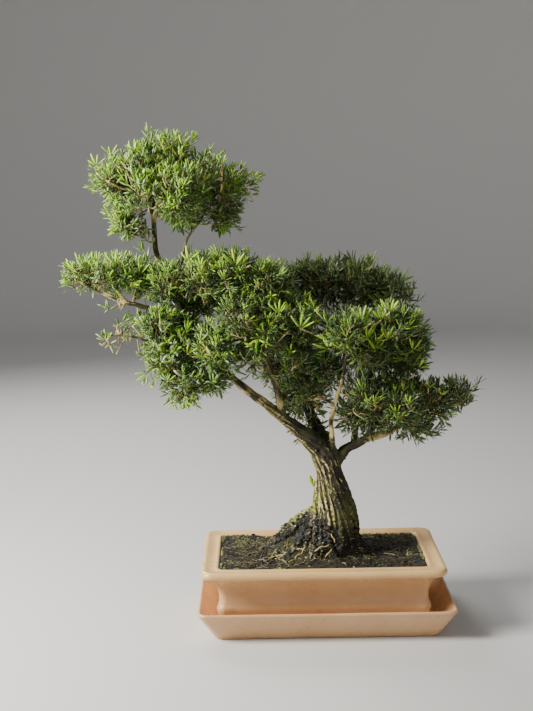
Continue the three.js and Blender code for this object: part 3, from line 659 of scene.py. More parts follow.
def trunk_pieces(chance):
    """The trunk and the cords that wind up it."""
    column, _ = smooth_route(TRUNK, ROUTE_STEP)
    # The foot looks fuller on the right than the plain solid
    fuller = 3.2 * rise(column[:, 2], 180, -26) + 1.5 * rise(column[:, 2], 166, -16)
    column[:, 0] += fuller
    column[:, 3] += fuller
    angles = full_turn(TRUNK_SIDES)
    turned = angles[None] + column[:, 2:3] * TRUNK_TWIST_PER_MM
    radii = column[:, 3:4] * (0.87 * (1 + 0.05 * np.cos(7 * turned) + 0.05 * np.cos(3 * turned + 1)))
    x, y = column[:, 0:1] + radii * np.cos(angles), column[:, 1:2] + radii * np.sin(angles)
    ringed = np.stack([x, y, np.repeat(column[:, 2:3], TRUNK_SIDES, 1)], 2)
    pieces = [(ringed.reshape(-1, 3), loft_faces(len(column), TRUNK_SIDES))]
    wound = column[column[:, 2] > CORDS_FROM]
    return pieces + cords_on(wound, TRUNK_TWIST_PER_MM, TRUNK_CORDS, (0.0, 0.12), (0.78, 0.97), chance)


def root_pieces(chance):
    """The big roots, two thinner ones beside each, and the mound of fine roots between them."""
    pieces = []
    for degrees, reach, radius, height in ROOTS:
        path, along = smooth_route(root_route(degrees, reach, radius, height), ROUTE_STEP)
        wave = [np.sin(along / 11 + degrees), np.cos(along / 13 + degrees), 0.4 * np.sin(along / 7)]
        path[1:-2, :3] += 1.6 * np.stack(wave, 1)[1:-2]
        pieces.append(tube(path, 10))
        for lean in (-1, 1):
            beside = degrees + lean * chance.uniform(8, 15)
            shorter = reach * chance.uniform(0.62, 0.92)
            thinner = radius * chance.uniform(0.35, 0.5)
            thin = root_route(beside, shorter, thinner, height - chance.uniform(-4, 8))
            pieces.append(tube(smooth_route(thin, ROUTE_STEP)[0], 8))
    angles = full_turn(MOUND_SIDES)
    shares = [MOUND_OUT, *np.linspace(MOUND_OUT, MOUND_IN, MOUND_ROWS)]
    rows = [root_mound(angles, share) for share in shares]
    rows[0][:, 2] = MOUND_BOTTOM
    pieces.append((np.concatenate(rows), loft_faces(len(rows), MOUND_SIDES)))
    return pieces


def fused_pieces(chance):
    """The first parts of the big branches, with cords along the thickest."""
    pieces = []
    for name, length in FUSED.items():
        path, along = smooth_route(BRANCHES[name], ROUTE_STEP)
        path, along = picked(along <= length + 3, path, along)
        turned = full_turn(FUSED_SIDES)[None] + along[:, None] * BRANCH_TWIST
        reach = 0.93 * (1 + 0.07 * np.cos(4 * turned + 1) + 0.05 * np.cos(7 * turned))
        pieces.append(tube(path, FUSED_SIDES, reach))
        if path[0, 3] > 9:
            count = 14 if path[0, 3] > 15 else 9
            pieces += cords_on(path, 0.012, count, (0.0, 0.15), (0.7, 1.0), chance)
    return pieces


def remeshed(points, faces, voxel):
    """One skin over overlapping closed pieces, as points and quads."""
    mesh = bpy.data.meshes.new("remeshed")
    mesh.from_pydata(points * MM, [], faces)
    holder = bpy.data.objects.new("remeshed", mesh)
    bpy.context.scene.collection.objects.link(holder)
    modifier = holder.modifiers.new("skin", "REMESH")
    modifier.mode = "VOXEL"
    modifier.voxel_size = voxel * MM
    graph = bpy.context.evaluated_depsgraph_get()
    skin = bpy.data.meshes.new_from_object(holder.evaluated_get(graph))
    bpy.data.objects.remove(holder)
    bpy.data.meshes.remove(mesh)
    made = np.empty(len(skin.vertices) * 3)
    skin.vertices.foreach_get("co", made)
    corners = np.empty(len(skin.loops), np.int64)
    skin.loops.foreach_get("vertex_index", corners)
    bpy.data.meshes.remove(skin)
    return made.reshape(-1, 3) / MM, corners.reshape(-1, 4)


def vertex_normals(points, quads):
    a, b, c, d = points[quads.T]
    across = np.cross(c - a, d - b)
    normals = np.zeros_like(points)
    for corner in range(4):
        np.add.at(normals, quads[:, corner], across)
    return unit(normals)


def relaxed(points, quads, rounds):
    """Each point moved halfway to the mean of its neighbours, time and again."""
    first, second = quads.T.ravel(), np.roll(quads, -1, axis=1).T.ravel()
    ends, others = np.concatenate([first, second]), np.concatenate([second, first])
    count = np.bincount(ends, minlength=len(points))
    for _ in range(rounds):
        mean = [np.bincount(ends, points[others, axis], len(points)) / count for axis in range(3)]
        points = 0.5 * points + 0.5 * np.stack(mean, 1)
    return points


def standing_out(points, quads, rounds):
    """How far each point stands out of its smoothed surroundings, in millimetres: below 0 in a crevice."""
    smooth = relaxed(points, quads, rounds)
    return np.sum((points - smooth) * vertex_normals(smooth, quads), 1)


def bark_coordinates(points, routes):
    """For each point, its place round and along the nearest route."""
    samples, rows = [], []
    for index, (route, twist) in enumerate(routes):
        path, along = smooth_route(route, 4)
        samples.append(path)
        run = along + ROUTE_APART * index
        rows.append(np.column_stack([*frames_along(path), run, np.full(len(path), twist)]))
    samples, rows = np.concatenate(samples), np.concatenate(rows)
    local = []
    for start in range(0, len(points), 4000):
        block = points[start:start + 4000]
        away = np.linalg.norm(block[:, None] - samples[None, :, :3], axis=2) / (samples[:, 3] + 4)
        nearest = np.argmin(away, axis=1)
        tangent, side, over, run, twist = np.split(rows[nearest], [3, 6, 9, 10], axis=1)
        offset = block - samples[nearest, :3]
        along = run[:, 0] + np.sum(offset * tangent, 1)
        u, v = np.sum(offset * side, 1), np.sum(offset * over, 1)
        turn = (along % ROUTE_APART) * twist[:, 0]
        local.append(np.stack([
            u * np.cos(turn) - v * np.sin(turn), u * np.sin(turn) + v * np.cos(turn), along], 1))
    return np.concatenate(local)


def root_mat(points):
    """0 to 1: how much a point lies in the dark mat of fine roots; and the noise that frays it."""
    x, z = points[:, 0], points[:, 2]
    patch = layered_noise(points, 11, 51, 3)
    return rise(z, 145 + 24 * rise(x, 24, -26) + 7 * patch, -7), patch


def barked(points, quads, place):
    """Bark relief, knots and the clumps of the root mat; returns the moved points and a 0..1 height."""
    normals = vertex_normals(points, quads)
    ridges = 1 - np.abs(layered_noise(place * [1, 1, 0.13], 3.6, 21, 2)) * 1.5
    cracks = 1 - np.abs(layered_noise(place * [1, 1, 0.35], 2.2, 31, 2)) * 1.5
    grain = smooth_noise(points / 1.7, 41)
    relief = 0.55 * ridges + 0.3 * cracks + 0.15 * grain
    mat, _ = root_mat(points)
    push = BARK_DEPTH * (relief - 0.55) * (1 - 0.5 * mat)
    push += mat * (1.8 * layered_noise(points, 8, 191, 2) + 1.5 * smooth_noise(points / 3.2, 195))
    for spot, size in KNOTS:
        away = np.linalg.norm(points - spot, axis=1)
        push += 1.1 * np.exp(-(((away - size) / 1.7) ** 2)) - 1.9 * np.exp(-((away / (0.6 * size)) ** 2))
    points = points + normals * push[:, None]
    stand = standing_out(points, quads, 12)
    points = points + normals * (0.7 * np.clip(stand, -2.2, 1.2))[:, None]
    return points, np.clip(0.46 + 0.42 * stand + 0.22 * (relief - 0.45), 0, 1)


def painted_shade(points):
    """Painted shade: how much darker the bark is painted where it lies in shade: on the trunk's right, over
    the leader and at the feet of two branches.
    """
    x, _, z = points.T
    trunk_side = 0.24 * rise(x, 10, 14) * rise(z, 252, -20)
    branch_foot = 0.34 * rise(x, 20, 8) * rise(x, 64, -5) * rise(z, 236, 10)
    above = 0.733 * (x - 9) + 0.683 * (z - 238)
    leader = 0.34 * rise(above, -3, 8) * rise(z, 244, 8) * rise(x, 12, -6) * rise(x, -66, 20)
    pale_foot = 0.34 * rise(x, 6, 3) * rise(x, 24, -3) * rise(z, 246, 6) * rise(z, 284, -14)
    return np.max([trunk_side, branch_foot, leader, pale_foot], axis=0)


def wood_tones(points, relief):
    """Red: relief, less the painted shade. Green: moss. Blue: the dark mat of fine roots at the foot."""
    x, _, z = points.T
    mat, patch = root_mat(points)
    left = rise(x, -3, -8) * rise(z, 212, -14) * rise(z, 164, 6)
    crest = SOIL_LEVEL + 74 * rise(x, -108, 92)
    slope = rise(x, -14, -8) * rise(z, crest - 4, 6) * rise(z, 116, 8) * rise(z, 206, -8)
    shaded_side = rise(x, 16, 10) * rise(z, 196, -30) * rise(z, 112, 10)
    cover = 0.66 * left + 0.80 * slope + 0.21 * shaded_side * (1 - slope)
    moss = np.clip(cover * (0.62 + 1.0 * patch + 0.7 * smooth_noise(points / 5.5, 57)), 0, 1)
    dark = mat * np.clip(1.0 + 0.4 * patch, 0, 1) * (1 - 0.8 * moss)
    # Red is the relief less the painted shade on bark that lies in shade
    return tone_rows(relief - painted_shade(points), moss, dark)


def make_trunk(material):
    chance = np.random.default_rng(7)
    points, faces = merged(trunk_pieces(chance) + root_pieces(chance) + fused_pieces(chance))
    points, quads = remeshed(points, faces, TRUNK_VOXEL)
    points = relaxed(points, quads, 1)
    routes = [(TRUNK, TRUNK_TWIST_PER_MM)] + [(root_route(*root), 0.0) for root in ROOTS]
    routes += [(BRANCHES[name], BRANCH_TWIST) for name in FUSED]
    points, relief = barked(points, quads, bark_coordinates(points, routes))
    return add_piece("trunk_bark", points, quads, material, "bark", ["tree_wood"], wood_tones(points, relief))


def make_rootlets(material):
    """Fine roots that run down the mound and into the soil."""
    chance = np.random.default_rng(17)
    pieces, tones = [], []
    for _ in range(ROOTLETS):
        angle = chance.uniform(0, 2 * np.pi)
        start, end = chance.uniform(0.3, 0.7), chance.uniform(0.86, 1.1)
        share = np.linspace(start, end, 9)
        angles = angle + np.cumsum(chance.normal(0, 0.045, 9)) + chance.normal(0, 0.25) * (share - start)
        path = root_mound(angles, np.minimum(share, 1.0), chance.uniform(0.2, 1.6))
        path[:, :2] *= np.maximum(share, 1.0)[:, None]
        path[-1, 2] -= 3
        pieces.append(tube(with_radii(path, chance.uniform(0.4, 1.3) * np.linspace(1, 0.5, 9)), 4))
        shade = chance.choice([0.05, 0.2, 0.45, 0.95], p=[0.5, 0.34, 0.11, 0.05])
        tones.append(even_tones(pieces[-1], shade, chance.random() ** 3 * 0.5))
    for route in PALE_ROOTS:
        pieces.append(tube(smooth_route(route, ROUTE_STEP)[0], 6))
        tones.append(even_tones(pieces[-1], 0.72, 0.2))
    add_piece("rootlets", *merged(pieces), material, "bark", ["tree_wood"], np.concatenate(tones))


def make_mat_flakes(material, trunk):
    """Bits of dead leaf, bark and grit caught in the dark mat of roots."""
    chance = np.random.default_rng(37)
    spots, normals = np.empty((2, len(trunk.data.vertices) * 3))
    trunk.data.vertices.foreach_get("co", spots)
    trunk.data.vertices.foreach_get("normal", normals)
    spots, normals = spots.reshape(-1, 3) / MM, normals.reshape(-1, 3)
    mat, _ = root_mat(spots)
    held = np.nonzero((mat > 0.7) & (spots[:, 2] > 104))[0]
    chosen = chance.choice(held, FLAKES, replace=False)
    spots = spots[chosen] + normals[chosen] * 0.5
    sizes = chance.uniform(0.8, 2.3, len(spots))
    points, faces = pebbles(spots, sizes, chance.uniform(0.25, 0.9, len(spots)), chance)
    shade = chance.choice([0.02, 0.15, 0.4, 0.75, 1.0], len(spots), p=[0.38, 0.30, 0.14, 0.11, 0.07])
    mossy = chance.choice([0.0, 0.8], len(spots), p=[0.86, 0.14])
    add_piece("root_flakes", points, faces, material, "soil", ["tree_wood"], pebble_tones(shade, mossy))


def make_branches(material):
    """The free lengths of the branches, as knobbly tubes."""
    pieces, tones = [], []
    for index, (name, route) in enumerate(BRANCHES.items()):
        path, along = smooth_route(route, ROUTE_STEP)
        path, along = picked(along >= FUSED.get(name, 0) - 12, path, along)
        path[:, 3] *= SLENDER.get(name, 1.0)
        # The swelling is thicker, and painted paler as painted light
        lump = np.exp(-(((path[:, 0] - SWELLING_X) / SWELLING_LENGTH) ** 2)) * (name == "right")
        path[:, 3] *= 1 + SWELLING_GROWTH * lump
        line = np.stack([along, along * 0 + index * 7.3, along * 0], 1)
        fade = rise(np.minimum(along - along[0], along[-1] - along), 0, 15)
        path[:, 1] += 1.1 * layered_noise(line, 17, 61, 2) * fade
        path[:, 2] += 1.1 * layered_noise(line, 19, 71, 2) * fade
        sides = 12 if route[0][3] > 5 else 9
        angles = full_turn(sides)
        place = np.stack(np.broadcast_arrays(
            path[:, 3:] * np.cos(angles), path[:, 3:] * np.sin(angles), along[:, None] + 300 * index), 2)
        place = place.reshape(-1, 3)
        knobs = layered_noise(place * [1, 1, 0.5], 7, 81, 2)
        cords = 1 - np.abs(layered_noise(place * [1, 1, 0.12], 3.2, 91, 1)) * 1.6
        pieces.append(tube(path, sides, (1 + 0.09 * knobs + 0.13 * (cords - 0.4)).reshape(len(path), sides)))
        made = pieces[-1][0]
        relief = np.clip(0.35 + 0.4 * cords + 0.2 * knobs, 0, 1)
        # Bark tone: the relief, less painted shade on bark in shade and on the shaded branches, plus painted
        # light on the swelling
        relief = relief - painted_shade(made) - SHADED.get(name, 0) + SWELLING_PAINTED_LIGHT * np.repeat(lump, sides)
        tones.append(tone_rows(relief, np.clip(layered_noise(made, 24, 95, 2) * 1.2 - 0.85, 0, 0.5)))
    add_piece("branches", *merged(pieces), material, "bark", ["tree_wood"], np.concatenate(tones))


# Foliage: the lumps of each pad, as centre and half sizes
SPRAYS = {
    "crown": [
        (-296, -8, 673, 36, 42, 31), (-258, -18, 688, 36, 42, 34), (-222, 5, 690, 44, 50, 37),
        (-176, -8, 672, 42, 46, 36), (-142, 2, 660, 36, 42, 34), (-149, 4, 627, 30, 36, 28),
        (-206, -56, 652, 46, 42, 40), (-251, -50, 656, 38, 38, 33), (-205, 60, 655, 56, 44, 44),
        (-266, 46, 668, 42, 40, 36), (-287, -12, 640, 24, 28, 27), (-200, 2, 630, 42, 46, 32),
        (-276, -16, 611, 26, 26, 24),
    ],
    "left_arm": [
        (-352, -12, 534, 27, 26, 17), (-322, -12, 534, 33, 34, 22), (-290, -10, 535, 34, 40, 27),
        (-266, -4, 528, 28, 38, 27),
    ],
    "low_left_twig": [(-312, -46, 446, 17, 18, 15), (-294, -44, 450, 18, 18, 14)],
    "upper_middle": [
        (-216, -22, 526, 36, 42, 30), (-176, -32, 533, 40, 44, 34), (-127, -28, 534, 43, 46, 37),
        (-82, -36, 520, 38, 44, 33), (-200, 28, 512, 48, 48, 36), (-144, 32, 517, 58, 50, 40),
        (-84, 28, 507, 44, 46, 35),
    ],
    "lower_left": [
        (-236, -30, 460, 32, 38, 27), (-203, -25, 438, 36, 42, 36), (-230, -35, 410, 32, 38, 31),
        (-205, -35, 375, 36, 42, 31), (-168, -38, 384, 30, 34, 28), (-158, -55, 428, 34, 34, 34),
        (-208, 26, 416, 50, 46, 48),
    ],
    "middle": [
        (-119, -60, 475, 34, 38, 30), (-82, -52, 450, 38, 42, 36), (-40, -45, 466, 38, 42, 32),
        (-103, -48, 421, 32, 38, 26), (-38, -40, 426, 32, 36, 30), (-72, 12, 432, 56, 54, 42),
        (-62, -8, 392, 36, 38, 26),
    ],
    "upper_right": [
        (-22, 46, 522, 34, 42, 24), (12, 54, 521, 42, 48, 26), (56, 60, 515, 46, 50, 27),
        (97, 57, 503, 36, 44, 24), (124, 54, 493, 22, 30, 17), (20, 54, 494, 52, 34, 18),
        (76, 58, 488, 34, 34, 16),
    ],
    "right": [
        (29, -70, 450, 36, 38, 28), (66, -60, 436, 38, 40, 36), (106, -45, 456, 38, 42, 32),
        (133, -32, 428, 24, 32, 30), (80, 2, 420, 58, 58, 42), (126, 10, 400, 28, 36, 24),
    ],
    "inner": [(4, -20, 392, 32, 36, 30), (-24, -22, 366, 28, 28, 24)],
    "inner_back": [(-31, 84, 336, 46, 38, 36)],
    "lower_right": [
        (66, -42, 353, 38, 40, 31), (112, -48, 338, 40, 42, 32), (160, -15, 339, 42, 44, 32),
        (198, -8, 346, 26, 28, 20), (140, 6, 308, 40, 42, 28), (118, 44, 332, 52, 50, 38),
        (52, -24, 328, 34, 28, 26), (100, -20, 316, 40, 32, 26),
    ],
}
# A leaf's sections, as places along it and widths there
FRESH_LEAF = [(0.20, 0.54), (0.52, 1.0), (0.82, 0.70)]
OLD_LEAF = [(0.30, 0.84), (0.70, 0.94)]
HIDDEN_LEAF = [(0.58, 1.0)]
LEAF_THICKNESS = 0.12
# Pairs of leaves from the tip down: how far below the tip, spread in degrees, and length
PAIR_GAPS = [0.5, 3.4, 7.4, 12.4, 18.0]
PAIR_ANGLES = [16, 31, 44, 54, 62]
PAIR_LENGTHS = [13, 17.5, 20, 19.5, 17.5]
OUTER_PAIRS, HIDDEN_PAIRS, FINE_PAIRS = 5, 4, 3
HIDDEN_BREADTH = 1.15
# Leaves deeper in their pad than this are painted darker: painted shade
PAD_SHADE_DEPTH = 0.85
# The leaf tint runs up to the plain one; leaves with a painted whitish sheen and yellow leaves have their own
PLAIN_TINT, PAINTED_SHEEN_TINT, YELLOW_TINT = 0.94, 0.97, 1.0
YELLOW_SHARE = 0.003
# Each pad's leaves: length scale, width as a share of length, share of young tufts, the gap between tufts,
# how fresh the older leaves are, partly real and partly painted light and shade (higher on the lit left pads,
# lower on the shaded right ones), and the share of leaves with a painted sheen
PAD_STYLES = {
    "crown": (0.82, 0.225, 0.52, 19.5, 0.63, 0.02), "left_arm": (0.84, 0.23, 0.58, 20, 0.68, 0.05),
    "low_left_twig": (0.9, 0.24, 0.6, 27, 0.66, 0.05), "upper_middle": (0.88, 0.20, 0.42, 20, 0.55, 0.02),
    "lower_left": (0.90, 0.24, 0.36, 20.5, 0.57, 0.12), "middle": (0.88, 0.19, 0.30, 20, 0.49, 0.02),
    "upper_right": (1.0, 0.16, 0.14, 19.5, 0.42, 0.0), "right": (1.04, 0.165, 0.22, 20.5, 0.40, 0.01),
    "inner": (0.86, 0.20, 0.16, 21, 0.40, 0.02), "inner_back": (0.86, 0.20, 0.10, 22, 0.33, 0.0),
    "lower_right": (0.96, 0.175, 0.10, 20.5, 0.32, 0.01),
}
# Pads that are little more than bare twigs, and how many shoots and tufts they keep
SPARSE_PADS = ("low_left_twig",)
SPARSE_COUNT = 2
# Tufts over a pad: their length, and the lean in degrees and the length of their middle and side shoots
TUFT_LENGTH = (27, 38)
MIDDLE_LEAN, SIDE_LEAN = (0, 12), (26, 52)
MIDDLE_REACH, SIDE_REACH = (0.92, 1.12), (0.72, 1.02)
INNER_GAP = 13.6
SHOOT_LENGTH, INNER_SHOOT_LENGTH = 15, 12
# Wood thinner than this carries twigs
TWIG_WOOD_RADIUS = 6.4
# Stems that the photograph shows through the leaves, and finer ones of their kind, as routes
FINE_STEMS = {
    "crown": [
        [
            (-247, -4, 618, 2.6), (-257, -12, 635, 2.3), (-268, -20, 646, 2.1), (-286, -28, 656, 1.8),
            (-304, -36, 665, 1.5), (-324, -38, 680, 1.0),
        ],
        [(-268, -20, 646, 1.7), (-271, -30, 657, 1.6), (-276, -40, 672, 1.4), (-282, -46, 691, 1.0)],
        [(-150, -4, 639, 2.0), (-145, -22, 652, 1.8), (-144, -32, 673, 1.5), (-142, -34, 694, 1.0)],
        [
            (-248, -2, 586, 2.0), (-256, -8, 594, 1.9), (-267, -14, 605, 1.7), (-279, -20, 614, 1.5),
            (-289, -24, 622, 1.0),
        ],
        [(-246, -2, 618, 2.4), (-236, -22, 640, 2.0), (-229, -40, 664, 1.6), (-226, -48, 690, 1.0)],
    ],
    "middle": [
        [(-99, -50, 440, 2.6), (-104, -68, 462, 2.0), (-112, -84, 484, 1.2)],
        [(-88, -38, 414, 2.4), (-70, -62, 432, 1.9), (-52, -80, 452, 1.2)],
    ],
    "upper_middle": [
        [(-211, -26, 521, 2.2), (-196, -46, 534, 1.8), (-178, -58, 548, 1.2)],
        [(-141, -38, 528, 2.2), (-124, -56, 536, 1.7), (-104, -66, 546, 1.1)],
    ],
    "left_arm": [
        [(-287, -12, 489, 2.2), (-300, -20, 506, 1.7), (-312, -26, 524, 1.1)],
        [(-330, -14, 508, 2.0), (-322, -20, 522, 1.6), (-318, -26, 536, 1.1)],
    ],
    "right": [
        [(37, -71, 440, 2.0), (52, -84, 452, 1.6), (70, -90, 466, 1.1)],
        [(72, -8, 402, 3.0), (90, -40, 424, 2.2), (108, -66, 448, 1.4)],
    ],
    "lower_right": [
        [(88, -44, 344, 2.6), (112, -64, 350, 2.0), (142, -66, 356, 1.2)],
        [(158, -10, 328, 2.6), (178, -20, 340, 2.0), (204, -18, 350, 1.2)],
    ],
    "low_left_twig": [
        [(-262, -39, 437, 1.6), (-271, -40, 450, 1.4), (-279, -41, 459, 1.1)],
        [(-288, -43, 442, 1.0), (-296, -42, 430, 0.8), (-303, -42, 417, 0.6)],
        [(-310, -45, 446, 1.4), (-315, -45, 438, 1.1), (-312, -44, 432, 0.8)],
    ],
    "lower_left": [
        [(-198, -33, 387, 2.2), (-214, -48, 394, 1.8), (-236, -58, 404, 1.2)],
        [(-226, -24, 452, 2.2), (-240, -40, 458, 1.7), (-250, -48, 466, 1.1)],
    ],
}
# Where leaves are kept sparse in front of the wood: the stem's points, and a reach
CLEARED = [
    ([(-246, 0, 560), (-246, 0, 590), (-245, 0, 630)], 12),
    ([(-221, 7, 506), (-201, 2, 571), (-195, 0, 586), (-179, 0, 607), (-150, -4, 639)], 10),
    ([(-247, -4, 618), (-268, -20, 646), (-286, -28, 656), (-304, -36, 665)], 10),
    ([(-150, -4, 639), (-144, -32, 673)], 7),
    ([(-248, -2, 586), (-256, -8, 594), (-267, -14, 605), (-279, -20, 614)], 8),
    ([(-264, 60, 606), (-272, 60, 622)], 11), ([(-271, -30, 657), (-276, -40, 672)], 8),
    ([(-262, -8, 482), (-310, -14, 498), (-352, -13, 518)], 11),
    ([(-58, -6, 309), (-70, -20, 362), (-84, -34, 402)], 10),
    ([(13, -14, 290), (16, -22, 325), (18, -27, 340)], 12),
    ([(17, -25, 333), (-4, -36, 346), (-17, -38, 344)], 9),
    ([(67, -2, 277), (92, -6, 284), (112, -7, 294)], 6),
]
CLEARED_SHARE = 0.85
# Single sprigs at the edge of the outline, as tip and direction
SPRIGS = {
    "crown": [
        ((-252, 0, 738), (-0.5, 0, 1)), ((-182, 10, 729), (0.7, 0, 0.8)), ((-332, -10, 688), (-1, 0, 0.5)),
        ((-330, -24, 672), (-1, -0.2, 0.1)), ((-300, -26, 622), (-1, -0.3, 0.15)),
        ((-292, -22, 608), (-1, -0.2, -0.1)), ((-274, -18, 600), (-0.8, -0.5, -0.2)),
        ((-262, -16, 588), (-0.5, -0.4, 0.5)), ((-100, 20, 664), (1, 0.1, 0.25)),
        ((-112, 0, 684), (1, 0, 0.6)), ((-118, 10, 620), (0.9, 0, -0.5)),
        ((-126, -10, 612), (0.9, -0.3, -0.4)), ((-300, -20, 602), (-1, -0.2, 0)),
        ((-212, 0, 724), (-0.1, -0.3, 1)), ((-230, -30, 722), (-0.2, -0.4, 1)),
        ((-160, -20, 712), (0.3, -0.4, 1)), ((-90, 6, 672), (1, -0.1, 0.1)),
        ((-96, 0, 652), (1, -0.2, -0.2)), ((-104, -8, 636), (0.9, -0.3, -0.4)),
        ((-96, 24, 644), (1, 0.2, 0)), ((-334, -16, 660), (-1, -0.2, -0.2)),
        ((-242, -10, 731), (-0.2, -0.2, 1)), ((-232, 6, 733), (0.1, -0.1, 1)),
        ((-222, -18, 732), (-0.1, -0.3, 1)), ((-208, 5, 733), (0.2, -0.1, 1)),
        ((-196, -12, 731), (0.3, -0.2, 1)), ((-186, 2, 729), (0.4, 0, 1)),
        ((-236, 22, 730), (-0.1, 0.2, 1)), ((-214, 26, 731), (0, 0.2, 1)),
    ],
    "upper_middle": [
        ((-193, -24, 566), (-0.2, -0.2, 1)), ((-184, -26, 562), (0.5, -0.2, 0.9)),
        ((-262, -15, 568), (-0.4, -0.2, 0.9)), ((-166, 2, 470), (0.1, -0.8, 0.1)),
        ((-158, 4, 474), (0.4, -0.8, 0)), ((-164, 14, 464), (0, -0.8, -0.2)),
        ((-180, 2, 474), (0.1, -0.8, -0.2)), ((-190, 4, 478), (-0.4, -0.7, -0.2)),
        ((-172, -6, 470), (0.3, -0.8, -0.1)), ((-196, 10, 486), (-0.3, -0.7, 0)),
        ((-184, 16, 470), (0, -0.7, -0.5)), ((-168, 4, 476), (0.4, -0.7, 0.1)),
        ((-176, 10, 486), (0.3, -0.6, -0.3)), ((-188, 6, 484), (-0.3, -0.6, -0.4)),
        ((-166, 20, 484), (0.4, -0.6, -0.5)), ((-152, 16, 482), (0.1, -0.6, -0.6)),
        ((-140, 10, 486), (0.3, -0.7, -0.3)),
    ],
    "upper_right": [
        ((-30, 40, 488), (-0.2, -0.6, -0.5)), ((-12, 44, 486), (0.2, -0.6, -0.6)),
        ((4, 46, 487), (-0.3, -0.5, -0.6)), ((20, 48, 484), (0.3, -0.6, -0.6)),
        ((36, 50, 484), (-0.2, -0.6, -0.6)), ((52, 50, 482), (0.2, -0.6, -0.7)),
        ((68, 50, 482), (0.3, -0.6, -0.6)), ((84, 52, 482), (-0.3, -0.6, -0.5)),
        ((98, 54, 482), (0.4, -0.5, -0.5)), ((44, 66, 480), (0.1, -0.4, -0.8)),
        ((12, 66, 482), (-0.1, -0.4, -0.8)), ((76, 68, 478), (0.2, -0.4, -0.8)),
    ],
    "lower_left": [((-263, -34, 378), (-0.7, -0.2, -0.8)), ((-250, -40, 372), (-0.3, -0.4, -1))],
    "right": [
        ((24, 10, 462), (-0.2, -0.3, 1)), ((44, 12, 462), (0.1, -0.3, 1)), ((60, 10, 464), (0.2, -0.3, 1)),
        ((78, 14, 464), (0.1, -0.3, 1)), ((34, 30, 458), (-0.3, 0, 1)), ((56, 34, 462), (0.2, 0, 1)),
        ((84, 34, 460), (0.2, 0, 1)), ((132, 20, 386), (0.5, -0.3, -0.8)),
        ((144, 16, 390), (0.7, -0.3, -0.5)), ((6, 62, 474), (-0.3, -0.3, 0.8)),
        ((20, 64, 470), (0.2, -0.3, 0.8)), ((34, 62, 466), (0.3, -0.4, 0.7)),
        ((46, 62, 468), (0, -0.3, 0.9)), ((-8, 60, 478), (-0.4, -0.3, 0.7)),
        ((14, 58, 460), (0.1, -0.6, 0.5)), ((28, 56, 456), (0, -0.6, 0.4)),
    ],
    "inner_back": [
        ((-40, 8, 300), (-0.4, -0.5, 0.4)), ((-30, 4, 286), (-0.3, -0.6, -0.3)),
        ((-20, 0, 296), (0, -0.8, 0.3)), ((-10, 4, 282), (0.3, -0.7, -0.3)),
        ((-34, 10, 316), (-0.3, -0.5, 0.6)), ((-16, 6, 312), (0.2, -0.7, 0.5)),
        ((0, 6, 298), (0.5, -0.7, 0.2)), ((-46, 14, 288), (-0.6, -0.4, -0.2)),
        ((-24, 10, 272), (-0.1, -0.5, -0.6)), ((-4, 10, 318), (0.4, -0.6, 0.4)),
        ((-44, 12, 326), (-0.5, -0.4, 0.5)), ((6, 12, 284), (0.5, -0.6, -0.2)),
        ((-14, 0, 270), (0.2, -0.7, -0.4)), ((-36, 4, 274), (-0.4, -0.6, -0.5)),
    ],
    "lower_right": [
        ((103, 20, 370), (0.2, -0.2, 0.9)), ((94, 10, 368), (-0.2, -0.3, 0.9)),
        ((86, 16, 372), (0, -0.2, 1)), ((112, 14, 368), (0.3, -0.3, 0.8)),
        ((48, 16, 370), (-0.3, -0.3, 0.8)), ((56, 8, 374), (0.1, -0.4, 0.9)),
        ((64, 14, 372), (0.3, -0.3, 0.9)), ((42, 8, 378), (-0.2, -0.4, 0.8)),
        ((40, 14, 368), (-0.4, -0.3, 0.6)), ((45, 0, 386), (0.1, -0.4, 0.9)),
        ((34, -16, 300), (-0.4, -0.8, 0.1)), ((42, -20, 290), (-0.2, -0.9, -0.3)),
        ((52, -18, 284), (0.1, -0.9, -0.4)), ((62, -20, 294), (0.3, -0.9, -0.1)),
        ((40, -14, 312), (-0.4, -0.8, 0.3)), ((54, -24, 302), (0, -0.9, -0.1)),
        ((70, -22, 288), (0.3, -0.8, -0.4)), ((80, -22, 294), (0.4, -0.8, -0.2)),
        ((48, -20, 320), (-0.2, -0.8, 0.3)), ((56, -24, 318), (-0.4, -0.8, -0.4)),
        ((70, -26, 308), (0.1, -0.9, -0.5)), ((86, -20, 304), (0.4, -0.8, -0.4)),
        ((44, -20, 330), (-0.6, -0.7, 0)), ((100, -14, 304), (0.3, -0.8, -0.6)),
        ((62, 10, 312), (-0.3, 0.2, -0.3)), ((78, 20, 306), (0.2, 0.4, -0.5)),
        ((120, -10, 300), (0.3, -0.8, -0.6)), ((136, 8, 296), (0.2, -0.4, -0.9)),
        ((50, -4, 322), (-0.7, -0.2, 0.1)), ((92, 0, 300), (0, -0.4, -0.8)),
    ],
    "inner": [
        ((-26, -24, 352), (-0.5, -0.8, 0.2)), ((-36, -20, 342), (-0.6, -0.7, -0.4)),
        ((-16, -34, 360), (0.1, -0.9, 0.4)), ((-44, 0, 372), (-0.7, -0.5, 0.4)),
        ((-8, -30, 336), (0.4, -0.8, -0.4)), ((-30, 0, 362), (-0.3, -0.6, -0.4)),
        ((22, -26, 372), (0.5, -0.8, 0.2)), ((30, -20, 362), (0.7, -0.6, -0.2)),
        ((38, -12, 378), (0.7, -0.5, 0.4)),
    ],
}
